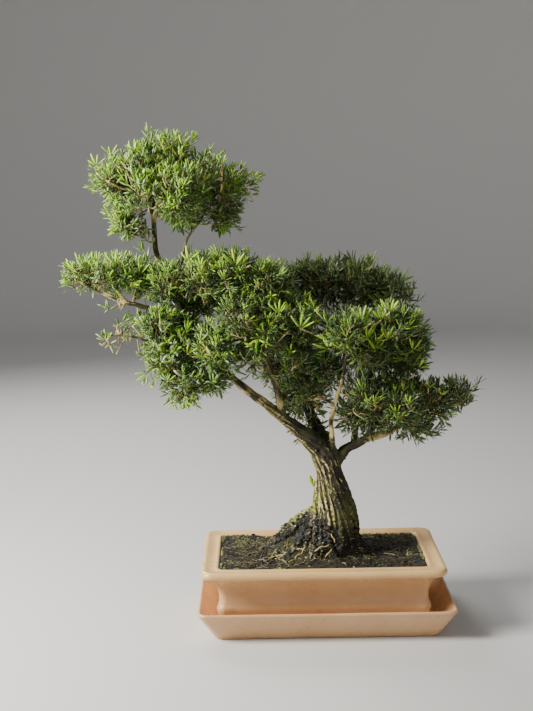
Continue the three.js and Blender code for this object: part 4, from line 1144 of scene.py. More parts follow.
# Tufts of single young leaves that the photograph shows: foot, lean from upright in degrees, leaf length
# and number of leaves
SHOWY_TUFTS = {
    "right": [
        ((-35, -88, 456), 10, 25, 5), ((5, -88, 427), -20, 23, 4), ((26, -90, 423), -8, 27, 5),
        ((33, -90, 453), 0, 19, 5), ((72, -90, 423), -15, 26, 6), ((89, -88, 439), 12, 21, 7),
        ((128, -70, 419), 20, 22, 4), ((53, -88, 466), 0, 24, 6), ((94, -84, 478), 5, 21, 5),
        ((81, -86, 467), -10, 17, 5), ((136, -66, 392), 75, 19, 3), ((110, -80, 452), 20, 18, 4),
        ((60, -92, 440), -5, 18, 4), ((14, -90, 444), 5, 17, 4),
    ],
    "middle": [((-65, -88, 478), 0, 21, 5), ((-14, -84, 483), 0, 17, 3), ((-112, -92, 468), 10, 15, 4)],
    "lower_right": [
        ((104, -84, 322), 15, 16, 5), ((71, -82, 342), 0, 16, 4), ((152, -56, 362), 10, 16, 4),
        ((120, -86, 344), -10, 15, 4), ((172, -52, 350), 15, 14, 4),
    ],
    "left_arm": [
        ((-266, -36, 532), 0, 25, 3), ((-302, -34, 548), 15, 17, 5), ((-340, -26, 540), -35, 17, 4),
        ((-368, -16, 530), -70, 15, 4), ((-322, -34, 540), -5, 15, 4),
    ],
    "upper_middle": [
        ((-194, -52, 552), 0, 22, 3), ((-176, -62, 545), 0, 18, 4), ((-126, -66, 545), 0, 24, 5),
        ((-92, -62, 535), 20, 18, 4), ((-150, -66, 540), -10, 16, 4),
    ],
    "lower_left": [
        ((-198, -72, 420), 20, 19, 5), ((-247, -60, 428), -25, 15, 5), ((-236, -66, 406), -10, 16, 4),
        ((-228, -70, 380), 0, 16, 5), ((-258, -44, 388), -130, 20, 3), ((-204, -72, 352), 170, 17, 4),
        ((-220, -68, 350), -160, 14, 4), ((-178, -84, 440), 0, 16, 4),
    ],
    "crown": [
        ((-325, -22, 690), -5, 19, 4), ((-303, -24, 704), 0, 16, 4), ((-214, -22, 722), 0, 16, 3),
        ((-200, -22, 716), 35, 19, 3), ((-142, -34, 690), 0, 14, 5), ((-113, -12, 684), 25, 13, 3),
        ((-98, 0, 664), 40, 17, 4), ((-148, -12, 602), 115, 20, 4), ((-282, -24, 614), -85, 21, 4),
        ((-300, -26, 640), -85, 16, 4), ((-322, -22, 676), -80, 18, 4), ((-250, -10, 736), 30, 15, 3),
        ((-196, -98, 660), 10, 14, 4), ((-224, -100, 672), -5, 13, 4),
    ],
    "low_left_twig": [
        ((-316, -44, 437), -20, 16, 6), ((-311, -44, 433), 175, 13, 3), ((-299, -44, 454), -5, 12, 5),
        ((-281, -42, 458), 10, 9, 4), ((-272, -40, 440), 10, 9, 3), ((-262, -38, 438), 30, 11, 3),
    ],
}
SHOWY_FAN = 46
# The one shoot on the trunk's left side: foot, way, length and width of each leaf
SPROUT = [((-14, -21, 207), (-0.45, 0, 1), 22, 7), ((-13, -21, 208), (-0.2, -0.4, 1), 13, 4.5)]


def leaf_template(sections):
    """A thin closed leaf along +X, one unit long and one wide, arched over its midrib, which is marked."""
    points, rib = [(0, 0, 0)], [1.0]
    for place, width in sections:
        half = width / 2
        points += [(place, half, 0), (place, 0, LEAF_THICKNESS), (place, -half, 0)]
        rib += [0.0, 1.0, 0.0]
    points.append((1, 0, 0))
    rib.append(0.6)
    tip = len(points) - 1
    following = (1, 2, 0)
    faces = [(0, 1 + after, 1 + side) for side, after in enumerate(following)]
    for low in range(1, tip - 3, 3):
        high = low + 3
        for side, after in enumerate(following):
            faces += [(low + side, low + after, high + after), (low + side, high + after, high + side)]
    faces += [(tip, tip - 3 + side, tip - 3 + after) for side, after in enumerate(following)]
    return np.array(points, float), np.array(rib), np.array(faces)


def leaves_mesh(sections, leaves):
    """All leaves of one kind as points, faces and tones: the template placed by each leaf's own frame."""
    shape, rib, faces = leaf_template(sections)
    bases, ahead, upward, lengths, widths, curls, tones = leaves
    ahead = unit(ahead)
    upward = unit(upward - ahead * np.sum(upward * ahead, 1)[:, None])
    sideways = np.cross(upward, ahead)
    x = shape[:, 0] * lengths[:, None]
    y = shape[:, 1] * widths[:, None]
    z = shape[:, 2] * widths[:, None] + curls[:, None] * lengths[:, None] * shape[:, 0] ** 2
    points = bases[:, None] + ahead[:, None] * x[..., None]
    points = points + sideways[:, None] * y[..., None] + upward[:, None] * z[..., None]
    faces = faces + len(shape) * np.arange(len(bases))[:, None, None]
    tones = tone_rows(tones[:, :1], tones[:, 1:], rib)
    return points.reshape(-1, 3), faces.reshape(-1, 3), tones.reshape(-1, 4)


def lump_distance(spots, lumps):
    """How far out each spot lies in its deepest lump: 1 is on the skin, 0 the middle."""
    return np.min(np.linalg.norm((spots[:, None] - lumps[None, :, :3]) / lumps[None, :, 3:], axis=2), axis=1)


def thinned(spots, gaps, order):
    """Indexes of spots that keep their gap from all those chosen before."""
    chosen = []
    for index in order:
        if chosen and np.min(np.sum((spots[chosen] - spots[index]) ** 2, axis=1)) < gaps[index] ** 2:
            continue
        chosen.append(index)
    return np.array(chosen)


def surface_spots(lumps, area_for_each, low, high, chance):
    """Random spots in the lumps between two depths, with outward directions and how far out they lie."""
    centres, halves = lumps[:, :3], lumps[:, 3:]
    weight = np.prod(halves, 1) ** (2 / 3)
    tries = int(4 * np.pi * weight.sum() / area_for_each)
    which = chance.choice(len(lumps), tries, p=weight / weight.sum())
    away = unit(chance.normal(size=(tries, 3)))
    spots = centres[which] + away * halves[which] * chance.uniform(low, high, tries)[:, None]
    return spots, unit(away / halves[which]), lump_distance(spots, lumps)


def tuft_feet(lumps, gap, young_share, chance):
    """Where the tufts over a pad spring from: feet, directions, lengths and whether each is young."""
    spots, outward, depth = surface_spots(lumps, 40, 0.97, 1.0, chance)
    lower = (outward[:, 2] < -0.5) & (chance.random(len(spots)) < 0.4)
    order = np.nonzero((depth > 0.93) & ~lower)[0]
    gaps = gap * chance.uniform(0.8, 1.2, len(spots))
    spots, outward = picked(thinned(spots, gaps, order), spots, outward)
    axes = 0.75 * outward + chance.normal(0, 0.22, outward.shape)
    axes[:, 2] += 0.32
    axes = unit(axes)
    lengths = chance.uniform(*TUFT_LENGTH, len(spots))
    crests = spots + outward * chance.uniform(-9, 4.5, len(spots))[:, None]
    # Young, bright tufts come more on top, where new growth is, and more on the left-facing side, which is
    # painted light
    young = chance.random(len(spots)) < young_share * (1 + 0.8 * outward[:, 2] - 0.35 * outward[:, 0])
    return crests - axes * lengths[:, None], axes, lengths, young


def tuft_shoots(lumps, gap, young_share, chance):
    """Tufts fanned over a pad: shoots as tips, directions, how far out and whether young; and tufts' feet."""
    tufts = tuft_feet(lumps, gap, young_share, chance)
    shoots = []
    for foot, axis, length, fresh in zip(*tufts):
        count = chance.integers(4, 7)
        helper = unit(np.cross(axis, [0.3, 0.2, 1.0]))
        third = np.cross(axis, helper)
        start = chance.uniform(0, 2 * np.pi)
        for shoot in range(count):
            lean = math.radians(chance.uniform(*(SIDE_LEAN if shoot else MIDDLE_LEAN)))
            turn = start + 2 * np.pi * shoot / max(count - 1, 1) + chance.normal(0, 0.25)
            way = axis * math.cos(lean) + (helper * math.cos(turn) + third * math.sin(turn)) * math.sin(lean)
            tip = foot + way * (length * chance.uniform(*(SIDE_REACH if shoot else MIDDLE_REACH)))
            way = way + np.array([0, 0, 0.14]) + chance.normal(0, 0.14, 3)
            shoots.append((tip, unit(way), fresh and chance.random() < 0.8))
    tips, ways, young = [np.array(column) for column in zip(*shoots)]
    # Shoots that end deep inside a neighbour are few
    depth = lump_distance(tips, lumps)
    keep = (depth > 0.66) | (chance.random(len(tips)) < 0.35)
    return picked(keep, tips, ways, depth, young), tufts[0]


def inner_shoots(lumps, chance):
    """Sparse shoots within a pad, painted dark as shade by their depth: tips, directions, how far out, and
    none of them young.
    """
    spots, outward, depth = surface_spots(lumps, 80, 0.3, 0.84, chance)
    chosen = thinned(spots, np.full(len(spots), INNER_GAP), np.nonzero(depth < 0.80)[0])
    spots, outward, depth = picked(chosen, spots, outward, depth)
    ways = unit(0.5 * outward + chance.normal(0, 0.45, outward.shape) + [0, 0, 0.4])
    return [spots, ways, depth, np.zeros(len(depth), bool)]


def leaf_tints(count, sheen_share, chance):
    """A random tint for each leaf; a share of them take the tint of the painted sheen."""
    tints = chance.uniform(0, PLAIN_TINT, count)
    tints[chance.random(count) < sheen_share] = PAINTED_SHEEN_TINT
    tints[chance.random(count) < YELLOW_SHARE] = YELLOW_TINT
    return tints


def shoot_leaves(shoots, pairs, style, chance):
    """Opposite pairs of leaves down each shoot, every pair turned from the one above; and which are fine."""
    tips, directions, depth, young = shoots
    scale, broad, _, _, freshness_and_light, sheen_share = style
    count = len(tips)
    helper = np.where(np.abs(directions[:, 2:3]) < 0.8, [[0.0, 0.0, 1.0]], [[1.0, 0.0, 0.0]])
    across = unit(np.cross(directions, helper))
    over = np.cross(directions, across)
    spin = chance.uniform(0, np.pi, count)
    vigour = chance.uniform(0.62, 1.12, count) * np.where(young, 1.12, 1.0)
    start_age = np.where(young, 0.90, freshness_and_light) + chance.normal(0, 0.13, count)
    rows = []
    for pair in range(pairs):
        for face in (0, 1):
            turn = spin + pair * np.pi / 2 + face * np.pi + chance.normal(0, 0.3, count)
            spread = PAIR_ANGLES[pair] + chance.normal(0, 11, count)
            angle = np.radians(spread * np.where(young, 0.86, 1.05))
            ahead, aside = np.cos(angle)[:, None], np.sin(angle)[:, None]
            out = across * np.cos(turn)[:, None] + over * np.sin(turn)[:, None]
            way = directions * ahead + out * aside
            way[:, 2] += 0.12
            base = tips - directions * (PAIR_GAPS[pair] * vigour)[:, None] + out * 0.4
            upward = directions * aside - out * ahead + chance.normal(0, 0.25, (count, 3))
            length = scale * PAIR_LENGTHS[pair] * vigour * chance.uniform(0.72, 1.2, count)
            width = length * broad * chance.uniform(0.8, 1.2, count)
            curl = chance.normal(-0.06, 0.08, count)
            # Older pairs are darker, and leaves deep in a pad are painted darker as painted shade
            age_and_shade = start_age - 0.10 * pair - 1.2 * np.clip(PAD_SHADE_DEPTH - depth, 0, 1)
            tone = np.stack([leaf_tints(count, sheen_share, chance), np.clip(age_and_shade, 0, 1)], 1)
            kept = chance.random(count) > 0.04 + 0.03 * pair
            fine = young & (pair < FINE_PAIRS)
            rows.append(picked(kept, base, way, upward, length, width, curl, tone, fine))
    *leaves, fine = [np.concatenate(column) for column in zip(*rows)]
    return leaves, fine


def showy_leaves(tufts, sheen_share, chance):
    """Young leaves fanned from each tuft's foot, most of them spread across the view from the front."""
    rows = []
    for foot, lean, length, count in tufts:
        angles = np.radians(lean + np.linspace(-SHOWY_FAN, SHOWY_FAN, count) + chance.normal(0, 7, count))
        ways = unit(np.stack([np.sin(angles), chance.normal(-0.12, 0.3, count), np.cos(angles)], 1))
        feet = foot + ways * chance.uniform(0, 3, (count, 1))
        upward = [0, -0.75, 0.6] + chance.normal(0, 0.3, (count, 3))
        lengths = length * chance.uniform(0.7, 1.1, count)
        widths = lengths * chance.uniform(0.17, 0.24, count)
        ages = np.clip(0.88 + chance.normal(0, 0.08, count), 0, 1)
        tones = np.stack([leaf_tints(count, sheen_share, chance), ages], 1)
        rows.append((feet, ways, upward, lengths, widths, chance.normal(-0.04, 0.08, count), tones))
    return [np.concatenate(column) for column in zip(*rows)]


def grow_twigs(feet, bases, directions, anchors):
    """Thin tubes from the nearest wood to each tuft's foot, and from there to each shoot."""
    chance = np.random.default_rng(91)
    room = len(anchors) + 8 * (len(bases) + len(feet))
    stock, thick = np.empty((room, 3)), np.full(room, 1.8)
    filled = len(anchors)
    stock[:filled] = anchors
    reach = [np.min(np.sum((anchors - foot) ** 2, 1)) for foot in feet]
    twigs = [(feet[index], np.array([0, 0, 1.0]), 1.0, 0) for index in np.argsort(reach)]
    twigs += [(base, pull, 0.6, 15) for base, pull in zip(bases, directions)]
    pieces = []
    for base, pull, end_size, extra in twigs:
        offset = stock[:filled] - base
        away = np.linalg.norm(offset, axis=1)
        start = int(np.argmin(away + 0.8 * np.clip(offset @ pull, 0, None)))
        origin, length = stock[start], away[start]
        if length < 1.5:
            origin, length = base - pull * 3, 3.0
        bend = base - pull * length * 0.45
        steps = int(np.clip(length / 10 + 2, 3, 8))
        t = np.linspace(0, 1, steps)[:, None]
        path = (1 - t) ** 2 * origin + 2 * t * (1 - t) * bend + t**2 * base
        path[1:-1] += chance.normal(0, 0.05 * min(length, 24), (steps - 2, 3))
        begin = min(thick[start] * 0.85, end_size + 0.15 + length * 0.012)
        path = with_radii(path, np.linspace(begin, end_size, steps))
        added = slice(filled, filled + steps - 1)
        stock[added], thick[added] = path[1:, :3], path[1:, 3]
        filled += steps - 1
        if extra:
            path = np.vstack([path, [*(base + pull * extra), 0.35]])
        pieces.append(tube(path, 3 if extra else 4))
    return pieces


def in_front(spots, path, reach):
    """Whether each spot stands between the camera and the path, within reach of the line of sight."""
    sight = path[:, :3] - CAMERA_PLACE
    far = np.linalg.norm(sight, axis=1)
    sight = sight / far[:, None]
    offset = spots - CAMERA_PLACE
    along = offset @ sight.T
    aside = np.sqrt(np.maximum(np.sum(offset**2, 1)[:, None] - along**2, 0))
    return np.any((aside < reach) & (along < far[None] - 3), axis=1)


def outer_shoots(name, lumps, cleared, chance):
    """A pad's shoots, thinned in front of wood that shows, with its single sprigs; and its tufts' feet."""
    _, _, young_share, gap, _, _ = PAD_STYLES[name]
    shoots, feet = tuft_shoots(lumps, gap, young_share, chance)
    for path, reach in cleared:
        hides = in_front(shoots[0], path, reach) & (chance.random(len(shoots[0])) < CLEARED_SHARE)
        shoots = picked(~hides, *shoots)
    if name in SPRIGS:
        tips, ways = [np.array(column, float) for column in zip(*SPRIGS[name])]
        young = chance.random(len(tips)) < young_share
        sprigs = [tips, unit(ways), lump_distance(tips, lumps), young]
        shoots = [np.concatenate(columns) for columns in zip(shoots, sprigs)]
    return shoots, feet


def pad_leaves(name, outer, inner, chance):
    """All leaves of a pad as points, faces and tones."""
    style = PAD_STYLES[name]
    leaves, fine = shoot_leaves(outer, OUTER_PAIRS, style, chance)
    hidden, _ = shoot_leaves(inner, HIDDEN_PAIRS, style, chance)
    hidden[4] = hidden[4] * HIDDEN_BREADTH
    kinds = [(FRESH_LEAF, picked(fine, *leaves)), (OLD_LEAF, picked(~fine, *leaves)), (HIDDEN_LEAF, hidden)]
    if name in SHOWY_TUFTS:
        kinds.append((FRESH_LEAF, showy_leaves(SHOWY_TUFTS[name], style[-1], chance)))
    points, faces, tones = zip(*[leaves_mesh(*kind) for kind in kinds])
    starts = np.cumsum([0] + [len(part) for part in points])
    faces = [part + start for part, start in zip(faces, starts)]
    return [np.concatenate(parts) for parts in (points, faces, tones)]


def pad_twigs(name, outer, inner, feet, anchors):
    """The stems and twigs of a pad as points and faces."""
    pieces, spots = [], [anchors]
    for stem in FINE_STEMS.get(name, []):
        path, _ = smooth_route(stem, 5)
        pieces.append(tube(path, 6))
        spots.append(path[:, :3])
    for foot, _, _, _ in SHOWY_TUFTS.get(name, []):
        foot = np.array(foot, float)
        nearest = anchors[np.argmin(np.sum((anchors - foot) ** 2, axis=1))]
        inside = foot + unit(nearest - foot + [0, 0, -12]) * 22
        pieces.append(tube(with_radii(np.linspace(inside, foot, 4), np.linspace(1.1, 0.7, 4)), 4))
    bases = np.vstack([outer[0] - outer[1] * SHOOT_LENGTH, inner[0] - inner[1] * INNER_SHOOT_LENGTH])
    pieces += grow_twigs(feet, bases, np.vstack([outer[1], inner[1]]), np.concatenate(spots))
    return merged(pieces)


def make_foliage(leaf_look, twig_look):
    anchors = [smooth_route(route, 4)[0] for route in BRANCHES.values()]
    anchors = np.concatenate([path[path[:, 3] < TWIG_WOOD_RADIUS, :3] for path in anchors])
    cleared = [(smooth_route([(*spot, 1) for spot in path], 5)[0], reach) for path, reach in CLEARED]
    for number, (name, lumps) in enumerate(SPRAYS.items()):
        chance = np.random.default_rng(500 + number)
        lumps = np.array(lumps, float)
        outer, feet = outer_shoots(name, lumps, cleared, chance)
        inner = inner_shoots(lumps, chance)
        if name in SPARSE_PADS:
            few = slice(SPARSE_COUNT)
            outer, inner, feet = picked(few, *outer), picked(few, *inner), feet[few]
        points, faces, tones = pad_leaves(name, outer, inner, chance)
        node = "foliage_" + name
        add_piece("leaves_" + name, points, faces, leaf_look, "leaf", [node], tones)
        points, faces = pad_twigs(name, outer, inner, feet, anchors)
        shade = np.clip(0.74 + 0.3 * smooth_noise(points / 9, 131), 0, 1)
        add_piece("twigs_" + name, points, faces, twig_look, "bark", [node], tone_rows(shade, 0.08))


def make_sprout(material):
    feet, ways, lengths, widths = [np.array(column, float) for column in zip(*SPROUT)]
    upward, tones = [np.tile(row, (len(SPROUT), 1)) for row in ([0.5, -1.0, 0.2], [0.3, 0.92])]
    curls = np.full(len(SPROUT), 0.1)
    points, faces, tones = leaves_mesh(FRESH_LEAF, (feet, ways, upward, lengths, widths, curls, tones))
    add_piece("trunk_sprout", points, faces, material, "leaf", [], tones)


# Soil
SOIL_INSET, SOIL_BOTTOM = 26.8, 92
MOUND_HEIGHT, MOUND_RADIUS, MOUND_CENTRE = 15.0, 92.0, (0.0, 2.0)
SOIL_ROWS = 44
SOIL_SIDES = ((112, 64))
# Near the wall the soil sinks towards this height
EDGE_HEIGHT = 99
FEWER = 1
CRUMBS, FIBRES, MOSS_TRIES = 1300 // FEWER, 820 // FEWER, 2600 // FEWER
FIBRE_POINTS, STRAW_POINTS = 8, 7
# Straws on the soil that the photograph shows, as two ends and a radius
STRAWS = [
    ((-92, -52, 0), (-70, -20, 0), 0.9), ((-72, -38, 0), (-52, -76, 0), 0.8),
    ((88, -20, 0), (112, -34, 0), 0.7), ((-120, 10, 0), (-100, 30, 0), 0.7),
    ((60, 60, 0), (92, 52, 0), 0.8), ((-40, 72, 0), (-72, 64, 0), 0.7), ((24, -72, 0), (30, -82, 0), 0.7),
]
GOLDEN = (1 + 5**0.5) / 2
PEBBLE_POINTS = unit(np.array([
    (-1, GOLDEN, 0), (1, GOLDEN, 0), (-1, -GOLDEN, 0), (1, -GOLDEN, 0), (0, -1, GOLDEN), (0, 1, GOLDEN),
    (0, -1, -GOLDEN), (0, 1, -GOLDEN), (GOLDEN, 0, -1), (GOLDEN, 0, 1), (-GOLDEN, 0, -1), (-GOLDEN, 0, 1)]))
PEBBLE_FACES = np.array([
    (0, 11, 5), (0, 5, 1), (0, 1, 7), (0, 7, 10), (0, 10, 11), (1, 5, 9), (5, 11, 4), (11, 10, 2),
    (10, 7, 6), (7, 1, 8), (3, 9, 4), (3, 4, 2), (3, 2, 6), (3, 6, 8), (3, 8, 9), (4, 9, 5), (2, 4, 11),
    (6, 2, 10), (8, 6, 7), (9, 8, 1),
])


def pot_inside(points, inset):
    """How far each point lies inside the pot's inner wall, in millimetres."""
    half_length, half_depth = POT_HALF_LENGTH - inset, POT_HALF_DEPTH - inset
    radius = POT_CORNER - POT_WALL_INSET * POT_CORNER_TIGHTENING
    past = np.abs(points[:, :2] - [POT_CENTRE_X, 0]) - [half_length - radius, half_depth - radius]
    outside = np.linalg.norm(np.maximum(past, 0), axis=1) + np.minimum(np.max(past, axis=1), 0)
    return radius - outside


def soil_height(points):
    away = np.hypot(points[:, 0] - MOUND_CENTRE[0], points[:, 1] - MOUND_CENTRE[1]) / MOUND_RADIUS
    mound = MOUND_HEIGHT * np.clip(1 - away**2, 0, 1) ** 2
    flat = points * [1, 1, 0]
    coarse = layered_noise(flat, 26, 101, 3)
    fine = np.abs(layered_noise(flat, 4.5, 111, 3))
    return SOIL_LEVEL - 1.2 + mound + 1.5 * coarse + 2.0 * fine


def ground_height(spots):
    """The soil, or the root mound where that stands higher."""
    angles = np.arctan2(spots[:, 1], spots[:, 0])
    share = np.hypot(spots[:, 0], spots[:, 1]) / around(angles, 1)
    soil, mound = soil_height(spots), root_mound(angles, np.clip(share, 0.1, 1))[:, 2]
    return np.where(share < MOUND_OUT, np.maximum(mound, soil), soil)


def ground_spots(count, chance, inset=30.0):
    """Random places on the soil, clear of the trunk."""
    x = chance.uniform(-1, 1, count * 3) * (POT_HALF_LENGTH - inset) + POT_CENTRE_X
    y = chance.uniform(-1, 1, count * 3) * (POT_HALF_DEPTH - inset)
    spots = np.stack([x, y, np.zeros(len(x))], 1)
    spots = spots[(np.hypot(x, y) > 44) & (pot_inside(spots, inset - 2) > 0)][:count]
    spots[:, 2] = ground_height(spots)
    return spots


def make_soil(material):
    """The soil's surface: rings from the wall to the middle, over a bottom that hides in the solid."""
    rings = []
    half_length, half_depth = POT_HALF_LENGTH - SOIL_INSET, POT_HALF_DEPTH - SOIL_INSET
    for share in 1 - np.arange(SOIL_ROWS + 1) / SOIL_ROWS:
        radius = max(10.2 * share, 0.01) * 0.9
        ring_length, ring_depth = half_length - half_depth * (1 - share), max(half_depth * share, 0.02)
        rings.append(ring(ring_length, ring_depth, radius, 0, POT_CENTRE_X, SOIL_SIDES, 3)[0])
    points = np.concatenate(rings)
    height = soil_height(points)
    edge = rise(pot_inside(points, SOIL_INSET), 0, 5)
    sunk = EDGE_HEIGHT + (height - EDGE_HEIGHT) * (0.4 + 0.6 * edge)
    points[:, 2] = np.where(height > EDGE_HEIGHT, sunk, height)
    bottom = rings[0] + [0, 0, SOIL_BOTTOM]
    points = np.concatenate([bottom, points])
    faces = loft_faces(len(rings) + 1, len(bottom))
    shade = np.clip(0.5 + 0.5 * layered_noise(points, 30, 121, 3), 0, 1) * 0.5
    add_piece("soil_surface", points, faces, material, "soil", ["soil_bed"], tone_rows(shade))


def pebbles(spots, sizes, flats, chance):
    """Small rough lumps at the spots, as one mesh's points and faces."""
    count, corners = len(spots), len(PEBBLE_POINTS)
    rough = 1 + chance.uniform(-0.28, 0.28, (count, corners, 1))
    shape = PEBBLE_POINTS * rough * sizes[:, None, None]
    stretch = np.stack([chance.uniform(0.7, 1.4, count), chance.uniform(0.7, 1.2, count), flats], 1)
    x, y, z = np.moveaxis(shape * stretch[:, None], 2, 0)
    turn = chance.uniform(0, 2 * np.pi, (count, 1))
    turned = [x * np.cos(turn) - y * np.sin(turn), x * np.sin(turn) + y * np.cos(turn), z]
    points = np.stack(turned, 2) + spots[:, None]
    faces = PEBBLE_FACES + corners * np.arange(count)[:, None, None]
    return points.reshape(-1, 3), faces.reshape(-1, 3)


def pebble_tones(shade, mossy=0.0):
    return np.repeat(tone_rows(shade, mossy), len(PEBBLE_POINTS), axis=0)


def make_crumbs(material, chance):
    spots = ground_spots(CRUMBS, chance)
    count = len(spots)
    sizes = chance.uniform(0.6, 1.5, count) * chance.choice([1, 1.6, 2.2], count, p=[0.7, 0.22, 0.08])
    points, faces = pebbles(spots, sizes, chance.uniform(0.5, 0.9, count), chance)
    shade = chance.choice([0.12, 0.3, 0.5, 0.7, 0.97], count, p=[0.3, 0.28, 0.22, 0.15, 0.05])
    add_piece("soil_crumbs", points, faces, material, "soil", ["soil_bed"], pebble_tones(shade))


def curled_fibre(spot, chance):
    """A fibre's path over the ground from a spot, or None where it would run into the pot's wall."""
    length = chance.uniform(7, 26)
    heading = chance.uniform(0, 2 * np.pi)
    wander = np.cumsum(chance.normal(0, 0.28, FIBRE_POINTS))
    headings = heading + (wander + chance.normal(0, 0.12) * np.arange(FIBRE_POINTS))
    steps = np.stack([np.cos(headings), np.sin(headings)], 1) * length / (FIBRE_POINTS - 1)
    path = np.zeros((FIBRE_POINTS, 3))
    path[:, :2] = spot[:2] + np.cumsum(steps, axis=0) - steps[0]
    if np.any(pot_inside(path, 28) < 1.5):
        return None
    arch = np.sin(np.linspace(0, np.pi, FIBRE_POINTS))
    path[:, 2] = ground_height(path) + 0.5 + chance.uniform(0, 2.6) * arch
    return with_radii(path, chance.uniform(0.28, 0.62) * np.linspace(1, 0.6, FIBRE_POINTS))


def straw(first, last, size):
    """A straw's path over the ground between two places."""
    share = np.linspace(0, 1, STRAW_POINTS)
    path = np.array(first, float) * (1 - share[:, None]) + np.array(last, float) * share[:, None]
    path[:, 0] += 1.2 * np.sin(share * 5)
    path[:, 2] = ground_height(path) + 1.0 + 1.5 * np.sin(np.pi * share)
    return with_radii(path, size * np.linspace(1, 0.7, STRAW_POINTS))


def make_fibres(material, chance):
    pieces, tones = [], []
    for spot in ground_spots(FIBRES, chance, 34):
        path = curled_fibre(spot, chance)
        if path is None:
            continue
        pieces.append(tube(path, 3))
        shade = chance.choice([0.4, 0.62, 0.78, 0.92], p=[0.3, 0.34, 0.26, 0.1])
        # Fibres on the right are painted darker: painted shade
        shade *= 0.74 if spot[0] > 20 else 1.0
        tones.append(even_tones(pieces[-1], shade, chance.choice([0.0, 0.5, 0.9], p=[0.55, 0.30, 0.15])))
    for first, last, size in STRAWS:
        pieces.append(tube(straw(first, last, size), 5))
        tones.append(even_tones(pieces[-1], 0.9, 0.3))
    add_piece("soil_fibres", *merged(pieces), material, "soil", ["soil_bed"], np.concatenate(tones))


def make_moss(material):
    """Moss cushions where the soil meets the wall, and in patches."""
    chance = np.random.default_rng(29)
    edge, _ = ring(POT_HALF_LENGTH - 28.6, POT_HALF_DEPTH - 28.6, 8, 0, POT_CENTRE_X, (300, 180), 8)
    growth = layered_noise(edge, 34, 141, 2) + 0.9 * (edge[:, 1] > 60) - 0.25
    edge = edge[growth > 0][::FEWER]
    edge[:, :2] += chance.normal(0, 1.0, (len(edge), 2))
    patches = ground_spots(MOSS_TRIES, chance, 32)
    patches = patches[layered_noise(patches * [1, 1, 0], 26, 151, 2) > 0.72]
    spots = np.vstack([edge, patches])
    spots = spots[pot_inside(spots, 26.4) > 1.4]
    spots[:, 2] = ground_height(spots) + 0.1
    sizes = chance.uniform(0.9, 2.2, len(spots))
    points, faces = pebbles(spots, sizes, chance.uniform(0.6, 1.0, len(spots)), chance)
    shade = chance.uniform(0.2, 1, len(spots))
    add_piece("moss_cushions", points, faces, material, "leaf", ["soil_bed"], pebble_tones(shade, shade))


def dress_screens(material):
    for name in ("drain_screen_left", "drain_screen_right"):
        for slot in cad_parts[name].material_slots:
            slot.material = material


# Camera, floor and lights; the floor and the lights are in metres
FLOOR_START, FLOOR_FLAT, SWEEP, WALL_TOP, FLOOR_SIDES = 1.2, 3.4, 1.1, 2.6, 96


def make_camera():
    right = Vector((math.cos(CAMERA_TURN), -math.sin(CAMERA_TURN), 0))
    level = Vector((math.sin(CAMERA_TURN), math.cos(CAMERA_TURN), 0))
    up = Vector((0, 0, 1))
    forward = math.cos(CAMERA_DOWN) * level - math.sin(CAMERA_DOWN) * up
    upward = math.sin(CAMERA_DOWN) * level + math.cos(CAMERA_DOWN) * up
    across = math.cos(CAMERA_ROLL) * right - math.sin(CAMERA_ROLL) * upward
    above = math.sin(CAMERA_ROLL) * right + math.cos(CAMERA_ROLL) * upward
    data = bpy.data.cameras.new("camera")
    data.sensor_width = SENSOR
    data.lens = FOCAL_PIXELS / LONG_SIDE_PIXELS * SENSOR
    data.clip_start, data.clip_end = CLIP_START, CLIP_END
    camera = bpy.data.objects.new("camera", data)
    bpy.context.scene.collection.objects.link(camera)
    turn = Matrix((across, above, -forward)).transposed().to_4x4()
    camera.matrix_world = Matrix.Translation(Vector(CAMERA_PLACE) * MM) @ turn
    bpy.context.scene.camera = camera


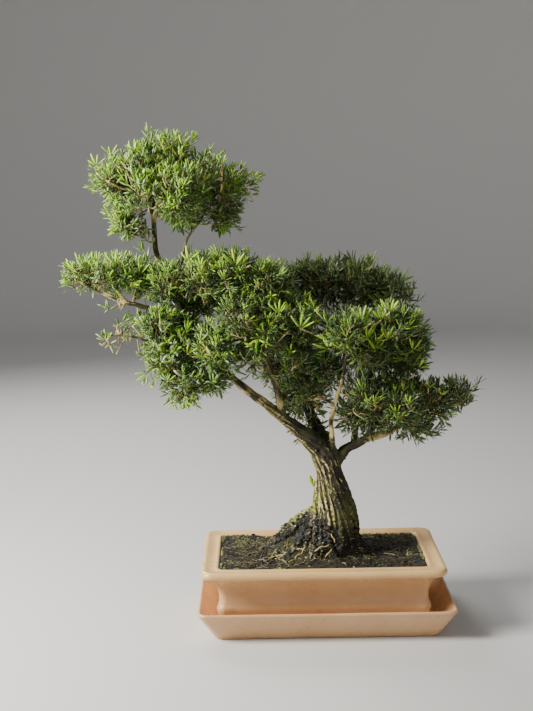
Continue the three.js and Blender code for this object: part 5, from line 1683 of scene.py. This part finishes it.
def make_stage():
    """A round pale floor that sweeps up into a low wall, the same from every side."""
    bends = [math.radians(degrees) for degrees in range(0, 91, 6)]
    profile = [(FLOOR_FLAT + SWEEP * math.sin(bend), SWEEP - SWEEP * math.cos(bend)) for bend in bends]
    profile = [(FLOOR_START, 0)] + profile + [(FLOOR_FLAT + SWEEP, WALL_TOP)]
    turns = [2 * math.pi * side / FLOOR_SIDES for side in range(FLOOR_SIDES)]
    points = [(0, 0, 0)]
    for radius, height in profile:
        points += [(radius * math.cos(turn), radius * math.sin(turn), height) for turn in turns]
    sides = [(side, (side + 1) % FLOOR_SIDES) for side in range(FLOOR_SIDES)]
    faces = [(0, 1 + side, 1 + after) for side, after in sides]
    for low in range(1, 1 + (len(profile) - 1) * FLOOR_SIDES, FLOOR_SIDES):
        high = low + FLOOR_SIDES
        faces += [(low + side, high + side, high + after, low + after) for side, after in sides]
    data = bpy.data.meshes.new("floor")
    data.from_pydata(points, [], faces)
    data.shade_smooth()
    data.materials.append(Shader("floor", {"Roughness": 0.75, "Base Color": (0.62, 0.615, 0.60, 1)}).material)
    floor = bpy.data.objects.new("floor", data)
    bpy.context.scene.collection.objects.link(floor)


def add_light(name, place, aim, size, power, colour):
    data = bpy.data.lights.new(name, "AREA")
    data.shape = "RECTANGLE"
    data.size = data.size_y = size
    data.energy = power
    data.color = colour
    light = bpy.data.objects.new(name, data)
    light.location = place
    light.rotation_euler = (Vector(aim) - Vector(place)).to_track_quat("-Z", "Y").to_euler()
    bpy.context.scene.collection.objects.link(light)


def make_lights():
    add_light("key", (-1.35, -0.45, 1.10), (-0.05, 0, 0.38), 0.6, 68, (1.0, 0.975, 0.92))
    add_light("fill", (1.9, -1.6, 1.0), (0, 0, 0.35), 1.6, 7, (0.95, 0.97, 1.0))
    add_light("back", (-0.9, 1.7, 1.5), (-0.1, 0, 0.45), 1.0, 30, (1.0, 0.99, 0.96))
    world = bpy.data.worlds.new("studio")
    world.use_nodes = True
    background = world.node_tree.nodes["Background"]
    background.inputs["Color"].default_value = (0.86, 0.88, 0.92, 1)
    background.inputs["Strength"].default_value = 0.24
    bpy.context.scene.world = world


make_camera()
make_stage()
make_lights()
glaze = glaze_material()
make_tray(glaze)
make_pot(glaze)
bark = bark_material()
trunk = make_trunk(bark)
make_rootlets(bark)
make_branches(bark)
leaf = leaf_material()
make_foliage(leaf, bark)
make_sprout(leaf)
dress_screens(screen_material())
soil = soil_material()
make_soil(soil)
litter_chance = np.random.default_rng(23)
make_crumbs(soil, litter_chance)
make_fibres(soil, litter_chance)
make_mat_flakes(soil, trunk)
make_moss(moss_material())
